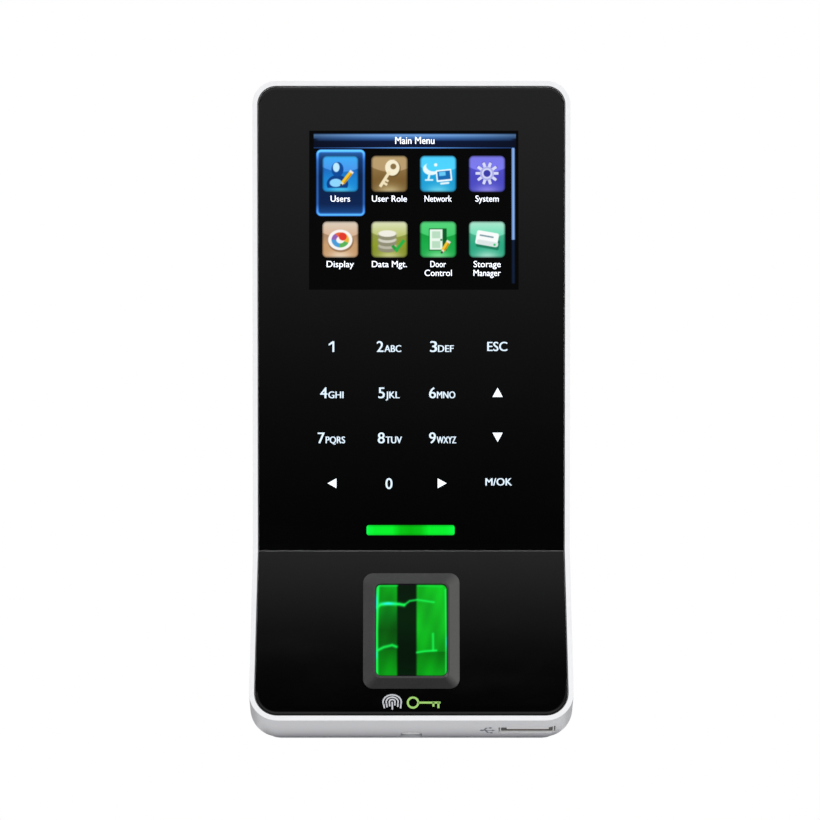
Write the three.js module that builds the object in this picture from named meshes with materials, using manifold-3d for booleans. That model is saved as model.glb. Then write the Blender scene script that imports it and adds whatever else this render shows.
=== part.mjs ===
// Wall-mounted fingerprint and keypad access terminal, in millimetres.
// +Z is up, the front faces -Y, and +X is to the right as seen from the front.
// The origin is the middle of the wall plate's back face, which lies on the wall at Y = 0.
//
// The pieces are drawn from the fold, the line across the front where the upright upper panel
// meets the tilted lower panel. In that frame Y is the distance behind the upper panel's face,
// so the wall is at Y = upperDepth, and Z is the height above the fold. The lower panel's own
// frame is the same frame tilted about the fold, so its Y is the distance behind that panel.

import * as THREE from 'three';
import { mergeVertices } from 'three/addons/utils/BufferGeometryUtils.js';
import Module from 'manifold-3d';

const wasm = await Module();
wasm.setup();

// ---------------------------------------------------------------- driving dimensions

const gap = 0.3; // left between two pieces that meet
const boardGap = 0.3; // left between a board and what is soldered to it
const screwGap = 0.3; // around a screw's shank
const rootOverlap = 0.2; // how far a joined shape reaches into the one it grows from
const past = 1; // how far a cutting tool runs past what it cuts
const endTrim = 0.01; // keeps the two ends of a rounded slot from meeting

// The moulded body
const topWidth = 77.3;
const waistPinch = 0.4; // how much narrower each side is at the fold
const footFlare = 0.35; // how much wider each side is at the bottom
const upperDepth = 13; // from the wall to the upper panel's face
const lowerTilt = THREE.MathUtils.degToRad(8.75);
const topRadius = 5.8;
const footRadius = 6.8;
const sideWall = 1.8;
const faceWall = 1.5;
const rim = 1.2; // the bright edge left around the two glass panels
const panelThickness = 1.5;
const bar = 1.6; // the strips of the face wall between its openings

// Down the upper panel, from the top edge to the fold
const topMargin = 12.2;
const screen = { width: 50.8, height: 38.9, offset: 0.6 };
const screenToKeys = 13.8; // to the middle of the first row of keys
const keyRows = 4;
const keyPitch = 11.1;
const keysToLight = 11.4;
const light = { width: 21.3, height: 2.45, depth: 2.4 };
const lightToFold = 5;

// Down the lower panel, from the fold to the bottom edge
const foldToSensor = 5.7;
const bezel = {
  width: 23.2, height: 28.5, radius: 2.4, lip: 0.3, rise: 1.1, land: 0.5, skirt: 3, skirtSide: 0.2,
};
const sensorToEdge = 7.7;

// Display and keypad
const lcd = { sideBorder: 4.35, endBorder: 1.9, thickness: 2.8 };
const tray = { base: 1.2, wall: 1.2, window: 0.55, flexNotch: 18 };
const keypad = { width: 56, film: 0.5, board: 1 };
const antenna = { width: 54, height: 33, radius: 3, track: 5, thickness: 0.4, behind: 0.4 };
const statusLedSize = { width: 1.6, height: 1.2, depth: 0.7 };
const statusLedX = [-7, 0, 7];

// Flat ribbon cables. Each leaves its part, crosses to the main board and lies against it.
const ribbonLift = 0.2; // from what is soldered to the board to the middle of a ribbon
const lcdRibbon = { thickness: 0.25, side: 1, bendDrop: 2, endDrop: 8 };
const keypadRibbon = { thickness: 0.2, from: -18, to: -8, lift: 0.15, lead: 1, drops: [1.6, 3.8, 5.4] };
const sensorRibbon = { thickness: 0.2, width: 6, lift: 0.1, below: 1.5, above: 7 };

// Fingerprint sensor
const sensorWindow = { width: 17.4, height: 22.8, radius: 1.4 };
const prism = { recess: 0.4, side: 0.25, flange: 1.4, thin: 1.1, thick: 2.8, overlap: 0.5 };
const gasketThickness = 0.6;
const carrier = { wall: 1.2, floor: 1.2, depth: 6.8, slotWidth: 8, slotAhead: 0.4 };
const lens = { radius: 2.6, length: 1.8, bore: 1.3, base: 0.6 };
const cameraBoard = { width: 14, height: 9, thickness: 0.8 };
const mirror = { width: 15, length: 13, thickness: 0.8, behind: 0.4 };
const ledBoard = { width: 16, height: 3.2, thickness: 0.8 };

// Circuit boards
const boardThickness = 1.6;
const boardWidth = 66;
const boardDepth = 5.4; // from the upper panel's face to the board's front
const boardToFold = 2;
const boardLeg = { from: -30, to: -16.2, length: 37 };
const boardScrew = { shank: 0.95, length: 3.2, head: 1.9, headHeight: 1.1, inset: 1.8, post: 2.2 };
const boardDrive = { radius: 0.8, depth: 0.6 };

// Parts on the main board. X is from its middle and Z is from the middle of its lower area.
const shield = { width: 20, height: 16, depth: 2, sheet: 0.4, x: 6.5, z: 2 };
const transformer = { width: 12.4, height: 7, depth: 2.2, x: 24, z: 7 };
const transformerLeg = { count: 8, pitch: 1.27, width: 0.5, length: 1.4, offset: 3.9, depth: 0.5 };
const cell = { radius: 6.25, thickness: 1.6, x: -12, floor: 0.3, holder: 15 };
const buzzerCan = { radius: 4.4, depth: 2.2, x: 24, z: -8, hole: 0.9, holeDepth: 0.8 };
const relayCase = { width: 10, height: 12.5, depth: 4.8, fromEnd: 7.5 };
const connector = { pitch: 2, end: 1, height: 6, wall: 0.6, sheet: 0.7, back: 1.2, fromTop: 5 };
const connectorPin = { width: 0.6, length: 4.8, lift: 1.9 };
const connectorX = { power: -19.5, lock: -8.5, reader: 3.5, network: 17 };

// Socket for a memory stick, in the bottom face
const usb = { x: 27.9, depth: 11, width: 13.1, height: 5.7, length: 14, sheet: 0.35 };
const usbTongue = {
  width: 11.1, height: 1.9, length: 8.4, recess: 1, ahead: 0.9, rootSide: 0.2, root: 0.5,
};
const usbInset = 0.4; // from the bottom face in to the socket's mouth
const usbBoard = { width: 15.3, length: 20, aboveWall: 2.5 };

// Rear cover and wall plate
const coverThickness = 1.6;
const bay = { width: 51, height: 21, fromBoardTop: 2 };
const plateThickness = 1.2;
const plate = { sideInset: 2, topInset: 2.5, radius: 5, windowInset: 1.5 };
const plateHole = { radius: 2.1, height: 8, x: 24, fromTop: 30, fromBottom: 26 };
const hook = { x: 20, width: 7, sheet: 1.2, lip: 1.6, ledge: 1.8 };
const slotSide = 0.6; // beside a hook in its slot
const slotBelow = 1.1; // under a hook in its slot, for hanging the terminal
const caseScrew = { shank: 1.1, length: 6, head: 2, headHeight: 0.8, boss: 2.6, fromEdge: 3.2 };
const caseDrive = { radius: 0.9, depth: 0.5 };
const footScrewX = 13;
const speaker = {
  radius: 10, x: 17, step: 1, magnet: 5.5, magnetDepth: 1.4, coneEdge: 1.4, coneDepth: 0.5,
};
const grille = { slots: 5, pitch: 3, width: 1.2, length: 12 };
const label = { x: 6, width: 42, height: 24, radius: 1, thickness: 0.2, recess: 0.6 };

// Security screw at the bottom, through the housing into the wall plate's tab
const lockScrew = { fromWall: 4, shank: 1.25, head: 2.3, headHeight: 0.9, pastTab: 1 };
const lockDrive = { radius: 0.9, depth: 0.6 };
const lockLedge = { height: 1.3, side: 2 }; // what the screw's head bears on, in the housing
const tab = { width: 9, sheet: 1.2, ahead: 3, pad: 1.3, notchSide: 1 };

// Sprung pieces
const tamper = { x: -27, z: 6, body: 6.2, radius: 1.5, bore: 1.05, length: 2.4, crown: 0.9, tipGap: 0.3 };
const tamperSpring = { radius: 0.72, wire: 0.13, turns: 5, end: 0.1, stepsPerTurn: 12 };
const switchFloor = 0.4; // left under the plunger in its switch
const reset = { x: -27, z: -8, body: 4.6, radius: 1, travel: 0.4, button: 0.9, floor: 0.3, stop: 0.2 };
const slideGap = 0.15; // around a sliding pin

const arcSteps = 7; // half the straight steps in a rounded corner of the body
const smallArcSteps = 3;
const roundSides = 28;
const smallRoundSides = 18;
const shankSides = 12;
const hexSides = 6;
const sensorArcSteps = 5;
const wireArcSteps = 3;
const beyond = 200; // past everything, for cutting tools

// ---------------------------------------------------------------- what follows from them

const upperLength = topMargin + screen.height + screenToKeys + keyPitch * (keyRows - 1)
  + keysToLight + lightToFold;
const lowerLength = foldToSensor + bezel.height + sensorToEdge;
const lowerFrame = new THREE.Matrix4().makeRotationX(-lowerTilt);
const footReach = lowerLength * Math.sin(lowerTilt); // how far the bottom edge stands out

// Height of the bottom face at a distance behind the upper panel's face. It is square to the
// lower panel, so it falls towards the wall.
const bottomAt = (y) => -(y + footReach) * Math.tan(lowerTilt) - lowerLength * Math.cos(lowerTilt);

const wallY = upperDepth;
const plateFront = wallY - plateThickness;
const coverBack = plateFront - gap;
const coverFront = coverBack - coverThickness;
const bodyMiddle = (upperLength + bottomAt(wallY)) / 2;

const ledgeDepth = panelThickness + gap; // the face wall's front, behind the glass
const faceBack = ledgeDepth + faceWall;
const innerHalf = topWidth / 2 - sideWall;

const screenZ = upperLength - topMargin - screen.height / 2;
const lcdWidth = screen.width + 2 * lcd.sideBorder;
const lcdHeight = screen.height + 2 * lcd.endBorder;
const lcdBottom = screenZ - lcdHeight / 2;
const lcdBack = ledgeDepth + lcd.thickness;
const trayFront = faceBack + gap;
const trayBack = lcdBack + gap + tray.base;

const lightZ = lightToFold;
const keypadTop = lcdBottom - gap - bar - gap;
const keypadBottom = lightZ + light.height / 2 + gap + bar + gap;
const keypadHeight = keypadTop - keypadBottom;
const keypadZ = (keypadTop + keypadBottom) / 2;
const keypadBoardFront = ledgeDepth + keypad.film + gap;
const keypadBoardBack = keypadBoardFront + keypad.board;

const boardBack = boardDepth + boardThickness;
const boardTop = keypadTop;
const boardBottom = boardToFold;
const rearPartFront = boardBack + boardGap; // parts soldered to the board's rear start here
const frontPartBack = boardDepth - boardGap; // and parts on its front end here
const boardScrewX = boardWidth / 2 - boardScrew.inset;
const boardScrewZ = [boardTop - boardScrew.post - gap, boardBottom + boardScrew.post + gap];

const bayTop = boardTop - bay.fromBoardTop;
const bayBottom = bayTop - bay.height;
const lowerRowZ = (bayBottom + boardBottom) / 2; // middle of the board below the bay
const tamperZ = lowerRowZ + tamper.z;
const resetZ = lowerRowZ + reset.z;

const sensorZ = -(foldToSensor + bezel.height / 2);
const skirtWidth = sensorWindow.width + 2 * (prism.flange + bezel.skirtSide);
const skirtHeight = sensorWindow.height + 2 * (prism.flange + bezel.skirtSide);
const bezelFront = -gap - bezel.lip - bezel.rise;
const gasketFront = bezel.skirt + gap;
const flangeFront = gasketFront + gasketThickness + gap;
const flangeWidth = sensorWindow.width + 2 * prism.flange - 2 * prism.side;
const flangeHeight = sensorWindow.height + 2 * prism.flange - 2 * prism.side;
const carrierFront = faceBack + gap;
const carrierBack = carrierFront + carrier.depth;
const carrierFloor = carrierBack - carrier.floor;
const carrierInside = { width: skirtWidth + 2 * gap, height: skirtHeight + 2 * gap };
const carrierTop = sensorZ + carrierInside.height / 2 + carrier.wall;
const cameraZ = sensorZ + carrierInside.height / 2 - gap - cameraBoard.height / 2;
const cameraFront = carrierFloor - gap - cameraBoard.thickness;
const prismSlope = Math.atan((prism.thick - prism.thin) / flangeHeight);

const usbMouth = usbInset - lowerLength;
const usbDepths = [usb.depth - usb.height / 2, usb.depth + usb.height / 2];

const plateTop = upperLength - plate.topInset;
const plateBottom = bottomAt(wallY);
const coverTop = upperLength - sideWall - gap;
const slotTop = coverTop - hook.ledge;
const hookTop = slotTop - gap;
const caseScrewTop = upperLength - sideWall - caseScrew.fromEdge;
const caseScrewX = innerHalf - caseScrew.fromEdge;
const footScrewZ = bottomAt(coverFront) + sideWall + caseScrew.fromEdge;
const speakerZ = screenZ;

const lockY = wallY - lockScrew.fromWall;
const pocketTop = bottomAt(lockY) + lockLedge.height;
const padTop = pocketTop + tab.pad;
const tabBottom = padTop + gap;
const tabTop = tabBottom + tab.sheet;
const lockTip = tabTop + lockScrew.pastTab;
const notchTop = lockTip + 2 * gap;

// ---------------------------------------------------------------- joining and cutting

function toSolid(geometry) {
  const bare = geometry.clone();
  bare.deleteAttribute('normal');
  bare.deleteAttribute('uv');
  const merged = mergeVertices(bare);
  const vertProperties = new Float32Array(merged.attributes.position.array);
  const triVerts = new Uint32Array(merged.index.array);
  return new wasm.Manifold(new wasm.Mesh({ numProp: 3, vertProperties, triVerts }));
}

function toGeometry(solid) {
  const mesh = solid.getMesh();
  const geometry = new THREE.BufferGeometry();
  const positions = new Float32Array(mesh.vertProperties);
  geometry.setAttribute('position', new THREE.BufferAttribute(positions, 3));
  geometry.setIndex(new THREE.BufferAttribute(new Uint32Array(mesh.triVerts), 1));
  return geometry;
}

function join(base, ...others) {
  return toGeometry(others.reduce((solid, other) => solid.add(toSolid(other)), toSolid(base)));
}

function cut(base, ...tools) {
  return toGeometry(tools.reduce((solid, tool) => solid.subtract(toSolid(tool)), toSolid(base)));
}

// ---------------------------------------------------------------- simple shapes

// A box between two values on each axis.
function block([x0, x1], [y0, y1], [z0, z1]) {
  const box = new THREE.BoxGeometry(x1 - x0, y1 - y0, z1 - z0);
  return box.translate((x0 + x1) / 2, (y0 + y1) / 2, (z0 + z1) / 2);
}

// A box by its middle in X and Z and its two faces in Y.
function plateBlock(width, height, [y0, y1], x, z) {
  return block([x - width / 2, x + width / 2], [y0, y1], [z - height / 2, z + height / 2]);
}

// An outline drawn in X and Z, made solid from one Y to another.
function slab(outline, [y0, y1], steps = smallArcSteps) {
  const options = { depth: y1 - y0, bevelEnabled: false, curveSegments: steps };
  return new THREE.ExtrudeGeometry(outline, options).rotateX(Math.PI / 2).translate(0, y1, 0);
}

// A closed solid through outlines with equal numbers of points, from its back to its front.
function stack(rings) {
  const loops = rings.map(([outline, y]) => outline.getPoints(sensorArcSteps).slice(0, -1)
    .map((point) => [point.x, y, point.y]));
  const count = loops[0].length;
  const last = count * (rings.length - 1);
  const index = [];
  for (let back = 0; back < last; back += count) {
    for (let i = 0; i < count; i += 1) {
      const next = (i + 1) % count;
      const front = back + count;
      index.push(front + i, back + i, back + next, front + i, back + next, front + next);
    }
  }
  for (let i = 1; i < count - 1; i += 1) {
    index.push(0, i + 1, i, last, last + i, last + i + 1);
  }
  const geometry = new THREE.BufferGeometry();
  const positions = new Float32Array(loops.flat(2));
  geometry.setAttribute('position', new THREE.BufferAttribute(positions, 3));
  return geometry.setIndex(index);
}

// A round bar along Y.
function rodY(radius, [y0, y1], x, z, sides = smallRoundSides) {
  const rod = new THREE.CylinderGeometry(radius, radius, y1 - y0, sides);
  return rod.translate(x, (y0 + y1) / 2, z);
}

// A round bar along Z.
function rodZ(radius, [z0, z1], x, y, sides = smallRoundSides) {
  const rod = new THREE.CylinderGeometry(radius, radius, z1 - z0, sides).rotateX(Math.PI / 2);
  return rod.translate(x, y, (z0 + z1) / 2);
}

function roundedOutline(width, height, radius, x = 0, z = 0) {
  const half = { x: width / 2 - radius, z: height / 2 - radius };
  const outline = new THREE.Shape();
  outline.absarc(x + half.x, z + half.z, radius, 0, Math.PI / 2);
  outline.absarc(x - half.x, z + half.z, radius, Math.PI / 2, Math.PI);
  outline.absarc(x - half.x, z - half.z, radius, Math.PI, Math.PI * 1.5);
  outline.absarc(x + half.x, z - half.z, radius, Math.PI * 1.5, Math.PI * 2);
  outline.closePath();
  return outline;
}

// A thin strip that follows points given as [y, z], with its faces square to X.
function ribbon(points, thickness, [x0, x1]) {
  const route = points.map(([y, z]) => new THREE.Vector2(y, z));
  const sides = [[], []];
  route.forEach((point, index) => {
    const before = route[Math.max(index - 1, 0)];
    const after = route[Math.min(index + 1, route.length - 1)];
    const along = after.clone().sub(before).normalize();
    const across = new THREE.Vector2(-along.y, along.x).multiplyScalar(thickness / 2);
    sides[0].push(point.clone().add(across));
    sides[1].unshift(point.clone().sub(across));
  });
  const outline = new THREE.Shape([...sides[0], ...sides[1]]);
  const strip = new THREE.ExtrudeGeometry(outline, { depth: x1 - x0, bevelEnabled: false });
  const axes = [new THREE.Vector3(0, 1, 0), new THREE.Vector3(0, 0, 1), new THREE.Vector3(1, 0, 0)];
  return strip.applyMatrix4(new THREE.Matrix4().makeBasis(...axes)).translate(x0, 0, 0);
}

function inLowerFrame(geometry) {
  return geometry.clone().applyMatrix4(lowerFrame);
}

// ---------------------------------------------------------------- outlines of the body

// The upper panel's outline, brought in by an inset, from its top down to a given height.
function upperOutline(inset, bottom) {
  const half = topWidth / 2 - inset;
  const waist = half - waistPinch;
  const top = upperLength - inset;
  const radius = topRadius - inset;
  const outline = new THREE.Shape();
  outline.moveTo(-waist, bottom);
  outline.lineTo(waist, bottom);
  if (bottom < 0) {
    outline.lineTo(waist, 0);
  }
  outline.absarc(half - radius, top - radius, radius, 0, Math.PI / 2);
  outline.absarc(radius - half, top - radius, radius, Math.PI / 2, Math.PI);
  if (bottom < 0) {
    outline.lineTo(-waist, 0);
  }
  outline.closePath();
  return outline;
}

// The lower panel's outline in its own frame, from a given height down to the bottom edge.
function lowerOutline(inset, top) {
  const waist = topWidth / 2 - waistPinch - inset;
  const foot = topWidth / 2 + footFlare - inset;
  const bottom = inset - lowerLength;
  const radius = footRadius - inset;
  const outline = new THREE.Shape();
  outline.moveTo(waist, top);
  outline.lineTo(-waist, top);
  outline.absarc(radius - foot, bottom + radius, radius, Math.PI, Math.PI * 1.5);
  outline.absarc(foot - radius, bottom + radius, radius, Math.PI * 1.5, Math.PI * 2);
  outline.closePath();
  return outline;
}

// The whole body's form, brought in from its sides and back from its two faces.
function bodyForm(inset, fromFace, back) {
  const overlap = upperDepth * Math.tan(lowerTilt) + sideWall;
  const upper = slab(upperOutline(inset, -overlap), [fromFace, back], arcSteps);
  const lower = slab(lowerOutline(inset, 0), [fromFace, beyond], arcSteps);
  const behind = block([-beyond, beyond], [back, 3 * beyond], [-beyond, beyond]);
  return join(upper, cut(inLowerFrame(lower), behind));
}

// ---------------------------------------------------------------- housing, glass and covers

// The socket's outline in the bottom face, grown by the gap around it.
function usbRoom(heights) {
  const across = [usb.x - usb.width / 2 - gap, usb.x + usb.width / 2 + gap];
  return block(across, [usbDepths[0] - gap, usbDepths[1] + gap], heights);
}

function housingBosses() {
  const solids = [];
  const holes = [];
  const bossEnd = coverFront - gap;
  const holeRadius = caseScrew.shank + screwGap;
  const holeFrom = bossEnd - caseScrew.length;
  for (const side of [-1, 1]) {
    const top = { x: side * caseScrewX, z: caseScrewTop, from: faceBack - rootOverlap };
    const foot = { x: side * footScrewX, z: footScrewZ, from: faceBack - footReach };
    for (const boss of [top, foot]) {
      solids.push(rodY(caseScrew.boss, [boss.from, bossEnd], boss.x, boss.z));
      holes.push(rodY(holeRadius, [holeFrom, bossEnd + past], boss.x, boss.z));
    }
    for (const z of boardScrewZ) {
      const x = side * boardScrewX;
      solids.push(rodY(boardScrew.post, [faceBack - rootOverlap, frontPartBack], x, z));
      const depth = boardBack - boardScrew.length;
      holes.push(rodY(boardScrew.shank + screwGap, [depth, boardDepth], x, z));
    }
  }
  return { solids, holes };
}

function lockPocket() {
  const slot = lockScrew.shank + screwGap;
  const well = lockScrew.head + screwGap;
  const low = bottomAt(wallY) - past;
  return [
    rodZ(slot, [low, padTop + past], 0, lockY),
    block([-slot, slot], [lockY, beyond], [low, padTop + past]),
    rodZ(well, [low, pocketTop], 0, lockY),
    block([-well, well], [lockY, beyond], [low, pocketTop]),
  ];
}

function frontHousing() {
  const shell = cut(bodyForm(0, 0, coverBack), bodyForm(sideWall, faceBack, coverBack + past));
  const bosses = housingBosses();
  const padFrom = lockY - lockScrew.head - 2 * gap;
  const padHalf = lockScrew.head + lockLedge.side;
  const pad = block([-padHalf, padHalf], [padFrom, coverBack], [bottomAt(padFrom) + gap, padTop]);
  const solid = join(shell, pad, ...bosses.solids);
  const recess = [-past, ledgeDepth];
  const through = [ledgeDepth - past, faceBack + past];
  const screenHole = plateBlock(lcdWidth + 2 * gap, lcdHeight + 2 * gap, through,
    screen.offset, screenZ);
  const keypadHole = plateBlock(keypad.width + 2 * gap, keypadHeight + 2 * gap, through, 0, keypadZ);
  const lightShape = roundedOutline(light.width + 2 * gap, light.height + 2 * gap,
    light.height / 2 + gap - endTrim, 0, lightZ);
  const sensorShape = roundedOutline(skirtWidth + 2 * gap, skirtHeight + 2 * gap,
    sensorWindow.radius + gap, 0, sensorZ);
  const usbHole = usbRoom([-lowerLength - past, past + sideWall - lowerLength]);
  return cut(
    solid,
    slab(upperOutline(rim, -gap), recess, arcSteps),
    inLowerFrame(slab(lowerOutline(rim, 0), recess, arcSteps)),
    screenHole,
    keypadHole,
    slab(lightShape, through),
    inLowerFrame(slab(sensorShape, through)),
    inLowerFrame(usbHole),
    ...lockPocket(),
    ...bosses.holes,
  );
}

function frontGlass() {
  return slab(upperOutline(rim + gap, gap / 2), [0, panelThickness], arcSteps);
}

function lowerFascia() {
  const sheet = slab(lowerOutline(rim + gap, -gap / 2), [0, panelThickness], arcSteps);
  const hole = roundedOutline(skirtWidth + 2 * gap, skirtHeight + 2 * gap,
    sensorWindow.radius + gap, 0, sensorZ);
  return cut(sheet, slab(hole, [-past, panelThickness + past]));
}

function statusLightGuide() {
  const outline = roundedOutline(light.width, light.height, light.height / 2 - endTrim, 0, lightZ);
  return slab(outline, [ledgeDepth, ledgeDepth + light.depth]);
}

function rearCover() {
  const form = bodyForm(sideWall + gap, faceBack, coverBack);
  const ahead = block([-beyond, beyond], [-beyond, coverFront], [-beyond, beyond]);
  const through = [coverFront - past, coverBack + past];
  const holes = [plateBlock(bay.width, bay.height, through, 0, (bayTop + bayBottom) / 2)];
  for (const side of [-1, 1]) {
    const slotWidth = hook.width + 2 * slotSide;
    const slotHeight = hook.sheet + gap + slotBelow;
    holes.push(plateBlock(slotWidth, slotHeight, through, side * hook.x, slotTop - slotHeight / 2));
    for (const [x, z] of [[side * caseScrewX, caseScrewTop], [side * footScrewX, footScrewZ]]) {
      const seat = coverBack - caseScrew.headHeight - gap;
      holes.push(rodY(caseScrew.shank + screwGap, through, x, z));
      holes.push(rodY(caseScrew.head + screwGap, [seat, coverBack + past], x, z));
    }
  }
  for (let i = 0; i < grille.slots; i += 1) {
    const z = speakerZ + (i - (grille.slots - 1) / 2) * grille.pitch;
    const radius = grille.width / 2 - endTrim;
    const outline = roundedOutline(grille.length, grille.width, radius, speaker.x, z);
    holes.push(slab(outline, through));
  }
  const notch = tab.width / 2 + gap + tab.notchSide;
  holes.push(block([-notch, notch], through, [plateBottom - past, notchTop]));
  holes.push(slab(labelOutline(gap), [coverBack - label.recess, coverBack + past]));
  holes.push(inLowerFrame(usbRoom([usbMouth - past, usbMouth + usb.length + gap])));
  holes.push(rodY(tamper.radius + gap, through, tamper.x, tamperZ));
  holes.push(rodY(reset.radius + gap, through, reset.x, resetZ));
  return cut(form, ahead, ...holes);
}

function labelOutline(grow) {
  const width = label.width + 2 * grow;
  return roundedOutline(width, label.height + 2 * grow, label.radius + grow, label.x, lowerRowZ);
}

function ratingLabel() {
  const front = coverBack - label.recess + gap;
  return slab(labelOutline(0), [front, front + label.thickness]);
}

// ---------------------------------------------------------------- wall plate and its screw

function wallPlate() {
  const width = topWidth - 2 * plate.sideInset;
  const height = plateTop - plateBottom;
  const middle = (plateTop + plateBottom) / 2;
  const sheet = slab(roundedOutline(width, height, plate.radius, 0, middle), [plateFront, wallY]);
  const solids = [];
  for (const side of [-1, 1]) {
    const hookX = [side * hook.x - hook.width / 2, side * hook.x + hook.width / 2];
    const lipFront = coverFront - gap - hook.sheet;
    solids.push(block(hookX, [lipFront, plateFront + gap], [hookTop - hook.sheet, hookTop]));
    const lipZ = [hookTop - hook.sheet, hookTop + hook.lip];
    solids.push(block(hookX, [lipFront, lipFront + hook.sheet], lipZ));
  }
  const tabX = [-tab.width / 2, tab.width / 2];
  solids.push(block(tabX, [lockY - tab.ahead, plateFront + gap], [tabBottom, tabTop]));
  const through = [plateFront - past, wallY + past];
  const windowWidth = bay.width - 2 * plate.windowInset;
  const windowHeight = bay.height - 2 * plate.windowInset;
  const window = plateBlock(windowWidth, windowHeight, through, 0, (bayTop + bayBottom) / 2);
  const holes = [window, rodZ(lockScrew.shank + screwGap, [tabBottom - past, tabTop + past], 0, lockY)];
  for (const side of [-1, 1]) {
    for (const z of [plateTop - plateHole.fromTop, plateBottom + plateHole.fromBottom]) {
      const radius = plateHole.radius;
      const x = side * plateHole.x;
      holes.push(slab(roundedOutline(2 * radius, plateHole.height, radius - endTrim, x, z), through));
    }
  }
  return cut(join(sheet, ...solids), ...holes);
}

function securityScrew() {
  const headTop = pocketTop - gap;
  const headBottom = headTop - lockScrew.headHeight;
  const shank = rodZ(lockScrew.shank, [headTop - rootOverlap, lockTip], 0, 0);
  const head = rodZ(lockScrew.head, [headBottom, headTop], 0, 0, roundSides);
  const driveTop = headBottom + lockDrive.depth;
  const drive = rodZ(lockDrive.radius, [headBottom - past, driveTop], 0, 0, hexSides);
  return cut(join(head, shank), drive).translate(0, lockY, 0);
}

// ---------------------------------------------------------------- display and keypad

function lcdPanel() {
  return plateBlock(lcdWidth, lcdHeight, [ledgeDepth, lcdBack], screen.offset, screenZ);
}

function lcdTray() {
  const inside = { width: lcdWidth + 2 * gap, height: lcdHeight + 2 * gap };
  const outside = { width: inside.width + 2 * tray.wall, height: inside.height + 2 * tray.wall };
  const body = plateBlock(outside.width, outside.height, [trayFront, trayBack],
    screen.offset, screenZ);
  const well = plateBlock(inside.width, inside.height, [trayFront - past, lcdBack + gap],
    screen.offset, screenZ);
  const window = plateBlock(inside.width * tray.window, inside.height * tray.window,
    [trayFront, trayBack + past], screen.offset, screenZ);
  const notchX = [screen.offset - tray.flexNotch / 2, screen.offset + tray.flexNotch / 2];
  const notch = block(notchX, [trayFront - past, lcdBack + gap], [lcdBottom - 2 * tray.wall, lcdBottom]);
  return cut(body, well, window, notch);
}

function lcdFlex() {
  const start = lcdBottom - gap;
  const lie = frontPartBack - ribbonLift;
  const route = [
    [trayFront + gap, start],
    [trayFront + gap, boardTop + gap],
    [lie, boardTop - lcdRibbon.bendDrop],
    [lie, boardTop - lcdRibbon.endDrop],
  ];
  const half = tray.flexNotch / 2 - lcdRibbon.side;
  return ribbon(route, lcdRibbon.thickness, [screen.offset - half, screen.offset + half]);
}

function keypadSheet(front, thickness) {
  return plateBlock(keypad.width, keypadHeight, [front, front + thickness], 0, keypadZ);
}

function cardAntenna() {
  const front = keypadBoardBack + gap + antenna.behind;
  const outer = roundedOutline(antenna.width, antenna.height, antenna.radius, 0, keypadZ);
  const inner = roundedOutline(antenna.width - 2 * antenna.track,
    antenna.height - 2 * antenna.track, antenna.radius - antenna.thickness, 0, keypadZ);
  outer.holes.push(inner);
  return slab(outer, [front, front + antenna.thickness]);
}

function keypadFlex() {
  const start = keypadZ - antenna.height / 2 - keypadRibbon.lead;
  const lie = frontPartBack - ribbonLift;
  const leave = keypadBoardBack + gap + keypadRibbon.lift;
  const route = [
    [leave, start],
    [leave + keypadRibbon.lift, start - keypadRibbon.drops[0]],
    [lie, start - keypadRibbon.drops[1]],
    [lie, start - keypadRibbon.drops[2]],
  ];
  return ribbon(route, keypadRibbon.thickness, [keypadRibbon.from, keypadRibbon.to]);
}

function statusLed(x) {
  const depth = [frontPartBack - statusLedSize.depth, frontPartBack];
  return plateBlock(statusLedSize.width, statusLedSize.height, depth, x, lightZ);
}

// ---------------------------------------------------------------- fingerprint sensor

function sensorOpening() {
  const { width, height, radius } = sensorWindow;
  return roundedOutline(width, height, radius, 0, sensorZ);
}

// The frame slopes away from a flat land around the window to a low edge that the fascia meets.
function sensorBezel() {
  const { land, lip } = bezel;
  const front = roundedOutline(sensorWindow.width + 2 * land, sensorWindow.height + 2 * land,
    sensorWindow.radius + land, 0, sensorZ);
  const edge = roundedOutline(bezel.width, bezel.height, bezel.radius, 0, sensorZ);
  const frame = stack([[edge, -gap], [edge, -gap - lip], [front, bezelFront]]);
  const skirt = roundedOutline(skirtWidth, skirtHeight, sensorWindow.radius + gap, 0, sensorZ);
  const window = sensorOpening();
  const solid = join(frame, slab(skirt, [-gap - lip / 2, bezel.skirt]));
  return cut(solid, slab(window, [-beyond, beyond]));
}

function sensorGasket() {
  const outer = roundedOutline(skirtWidth, skirtHeight, sensorWindow.radius, 0, sensorZ);
  outer.holes.push(sensorOpening());
  return slab(outer, [gasketFront, gasketFront + gasketThickness]);
}

// The glass block: a neck that fills the window, and a wedge behind it.
function sensorPrism() {
  const neck = roundedOutline(sensorWindow.width - 2 * prism.side,
    sensorWindow.height - 2 * prism.side, sensorWindow.radius - prism.side, 0, sensorZ);
  const face = bezelFront + prism.recess;
  const flangeBack = flangeFront + prism.thick;
  const wedge = plateBlock(flangeWidth, flangeHeight, [flangeFront, flangeBack], 0, sensorZ);
  const top = sensorZ + flangeHeight / 2;
  const tool = block([-beyond, beyond], [0, beyond], [-beyond, beyond]);
  tool.rotateX(prismSlope).translate(0, flangeFront + prism.thin, top);
  return cut(join(slab(neck, [face, flangeFront + prism.overlap]), wedge), tool);
}

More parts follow.
